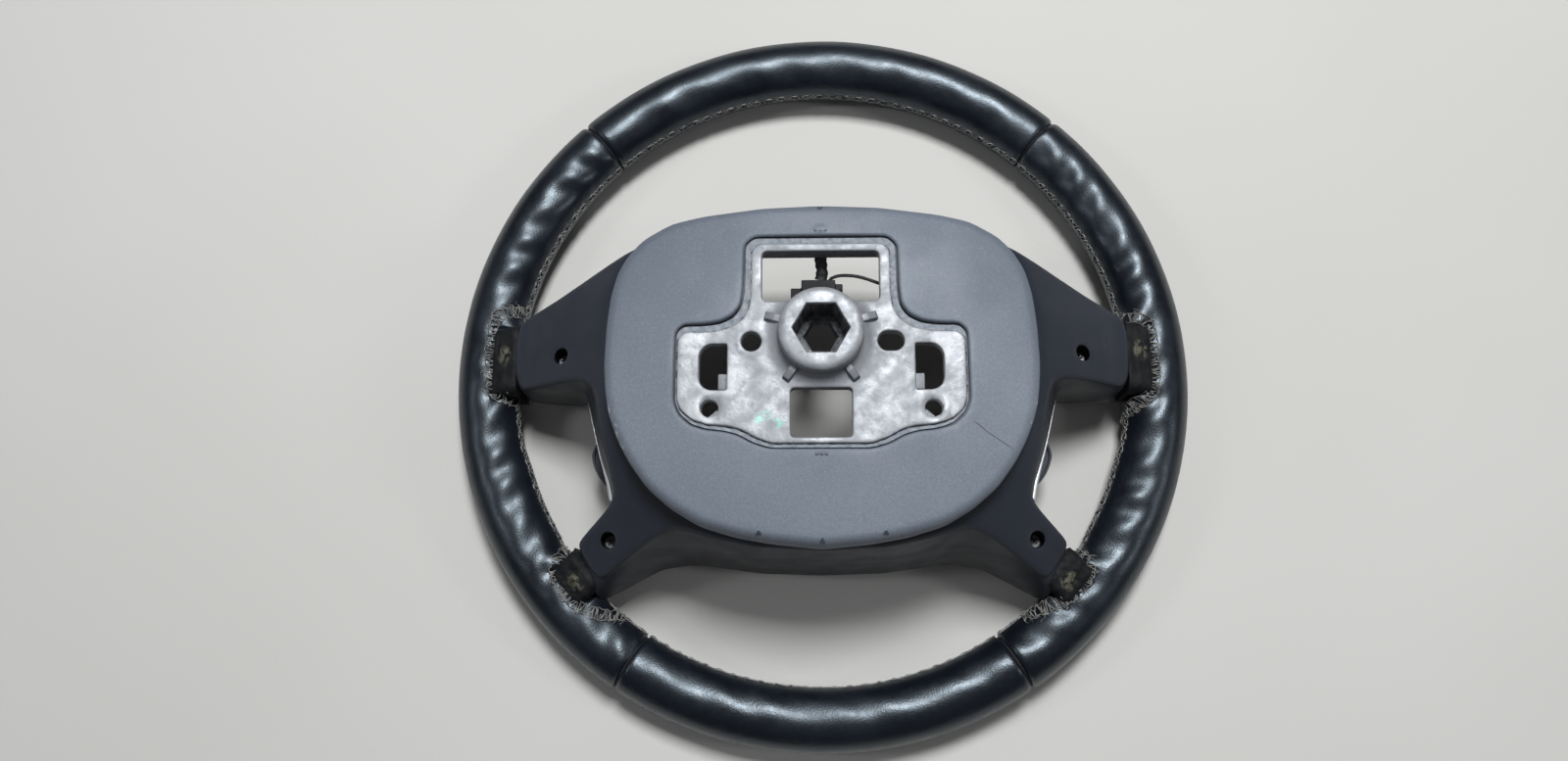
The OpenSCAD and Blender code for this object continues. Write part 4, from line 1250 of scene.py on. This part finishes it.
def make_bezel_edges(paint, dark):
    """The bright side wall of each bezel between the spokes, with its thumb lip lower down."""
    line = smooth_path([(116, -20, 0), (111, -40, 0), (105, -60, 0), (103, -69, 0)], 1.0)[:, :2]
    lip = smooth_path([(112.5, -37, 0), (115, -45, 0), (112, -54, 0), (107.5, -60, 0)], 0.8)[:, :2]
    for side, name in ((1, "right"), (-1, "left")):
        wall, rim, web, stations = Shape(), Shape(), Shape(), []
        for k, (x, y) in enumerate(line):
            share = k / (len(line) - 1)
            line_w = 0.2 + 0.7 * smoothstep(share, 0.1, 0.9)
            stations.append(((side * (x - 0.15), y, 33.8), (line_w, 0, 0), (0, 0, 11.7)))
        box_loft(wall, stations, 0.3)
        stations = [((side * x, y, 29.6), (0.7, 0, 0), (0, 0, 1.6)) for x, y in lip]
        box_loft(rim, stations, 0.5)
        inner = [np.interp(y, line[::-1, 1], line[::-1, 0]) for _, y in lip]
        rows = [[(side * (a + 0.2), y, 29.2), (side * (x - 0.2), y, 29.2), (side * (x - 0.2), y, 28.4),
                 (side * (a + 0.2), y, 28.4)] for (x, y), a in zip(lip, inner)]
        web.grid(rows, caps=True)
        piece("bezel_edge_" + name, wall, paint)
        piece("thumb_lip_" + name, rim, dark)
        piece("thumb_lip_web_" + name, web, dark)


def make_floor():
    shape = Shape()
    n = 40
    span = np.linspace(-6000, 6000, n)
    rows = [[(x, y, 0.0) for x in span] for y in span]
    shape.grid(rows, wrap=False)
    mesh = bpy.data.meshes.new("floor")
    mesh.from_pydata((np.vstack(shape.points) * MM).tolist(), [], shape.faces)
    mesh.materials.append(floor_paint())
    floor = bpy.data.objects.new("floor", mesh)
    bpy.context.scene.collection.objects.link(floor)


make_camera()
make_lights()
make_floor()
PAINTS = {
    "leather": leather_paint(), "rim_foam": foam_paint(), "thread": thread_paint(), "lacing": lacing_paint(),
    "black_plastic": plastic_paint("black_plastic", (0.0145, 0.0185, 0.0285), (0.022, 0.026, 0.038), 0.50,
                                   1300, 0.030, 0.35, [(x, y) for _, x, y, _ in screw_places()], 0.38),
    "grey_plastic": hub_cover_paint(), "magnesium": magnesium_paint(), "satin_silver": satin_paint(),
    "screw_steel": simple_paint("screw_steel", (0.05, 0.05, 0.055), (0.14, 0.14, 0.145), 0.40, 0.85),
    "button_plastic": plastic_paint("button_plastic", (0.022, 0.022, 0.026), (0.030, 0.030, 0.034), 0.55,
                                    1800, 0.02),
    "circuit_board": simple_paint("circuit_board", (0.012, 0.11, 0.045), (0.02, 0.17, 0.07), 0.35, 0.0, 500),
    "switch_rubber": simple_paint("switch_rubber", (0.13, 0.14, 0.15), (0.17, 0.18, 0.19), 0.65, 0.0, 200),
    "connector_plastic": plastic_paint("connector_plastic", (0.003, 0.003, 0.004), (0.006, 0.006, 0.007),
                                       0.55, 1500, 0.015, gloss=0.25),
    "wire_tape": simple_paint("wire_tape", (0.010, 0.010, 0.012), (0.022, 0.022, 0.024), 0.62, 0.0, 900,
                              0.08)}
make_leather(PAINTS["leather"])
make_foam(PAINTS["rim_foam"])
make_seam(PAINTS["thread"])
LACING_PATHS = {
    "upper_right": [(152.5, -23), (161, -18.5), (167, -13.5), (169, -6), (169.3, 8), (168.7, 20), (165.5, 25),
                    (156, 27)],
    "upper_left": [(151, -19), (160, -15), (167.5, -11), (169.2, 3.7), (169.8, 17.8), (167.5, 28), (162, 31.5),
                   (154, 32.5)],
    "lower_right": [(155.5, -27), (160, -20.5), (165, -11), (167.5, -1), (166.5, 9), (163.5, 13), (156, 13.5)],
    "lower_left": [(154.5, -28), (161.5, -22), (167.5, -13), (169, -4), (167, 9), (162.5, 14.5), (155.5, 15)]}
for count, (place, path) in enumerate(LACING_PATHS.items()):
    side = 1 if place.endswith("right") else -1
    root = UPPER_ROOT if place.startswith("upper") else LOWER_ROOT
    make_lacing("lacing_" + place, side, root, PAINTS["lacing"], 21 + count, path)
make_spoke_cover(PAINTS["black_plastic"])
make_hub_cover(PAINTS["grey_plastic"])
make_marks(PAINTS["black_plastic"], PAINTS["grey_plastic"])
make_armature(PAINTS["magnesium"])
make_rim_core(PAINTS["magnesium"])
make_wires(PAINTS["wire_tape"])
make_small_parts(PAINTS)
make_bezel_edges(PAINTS["satin_silver"], PAINTS["black_plastic"])
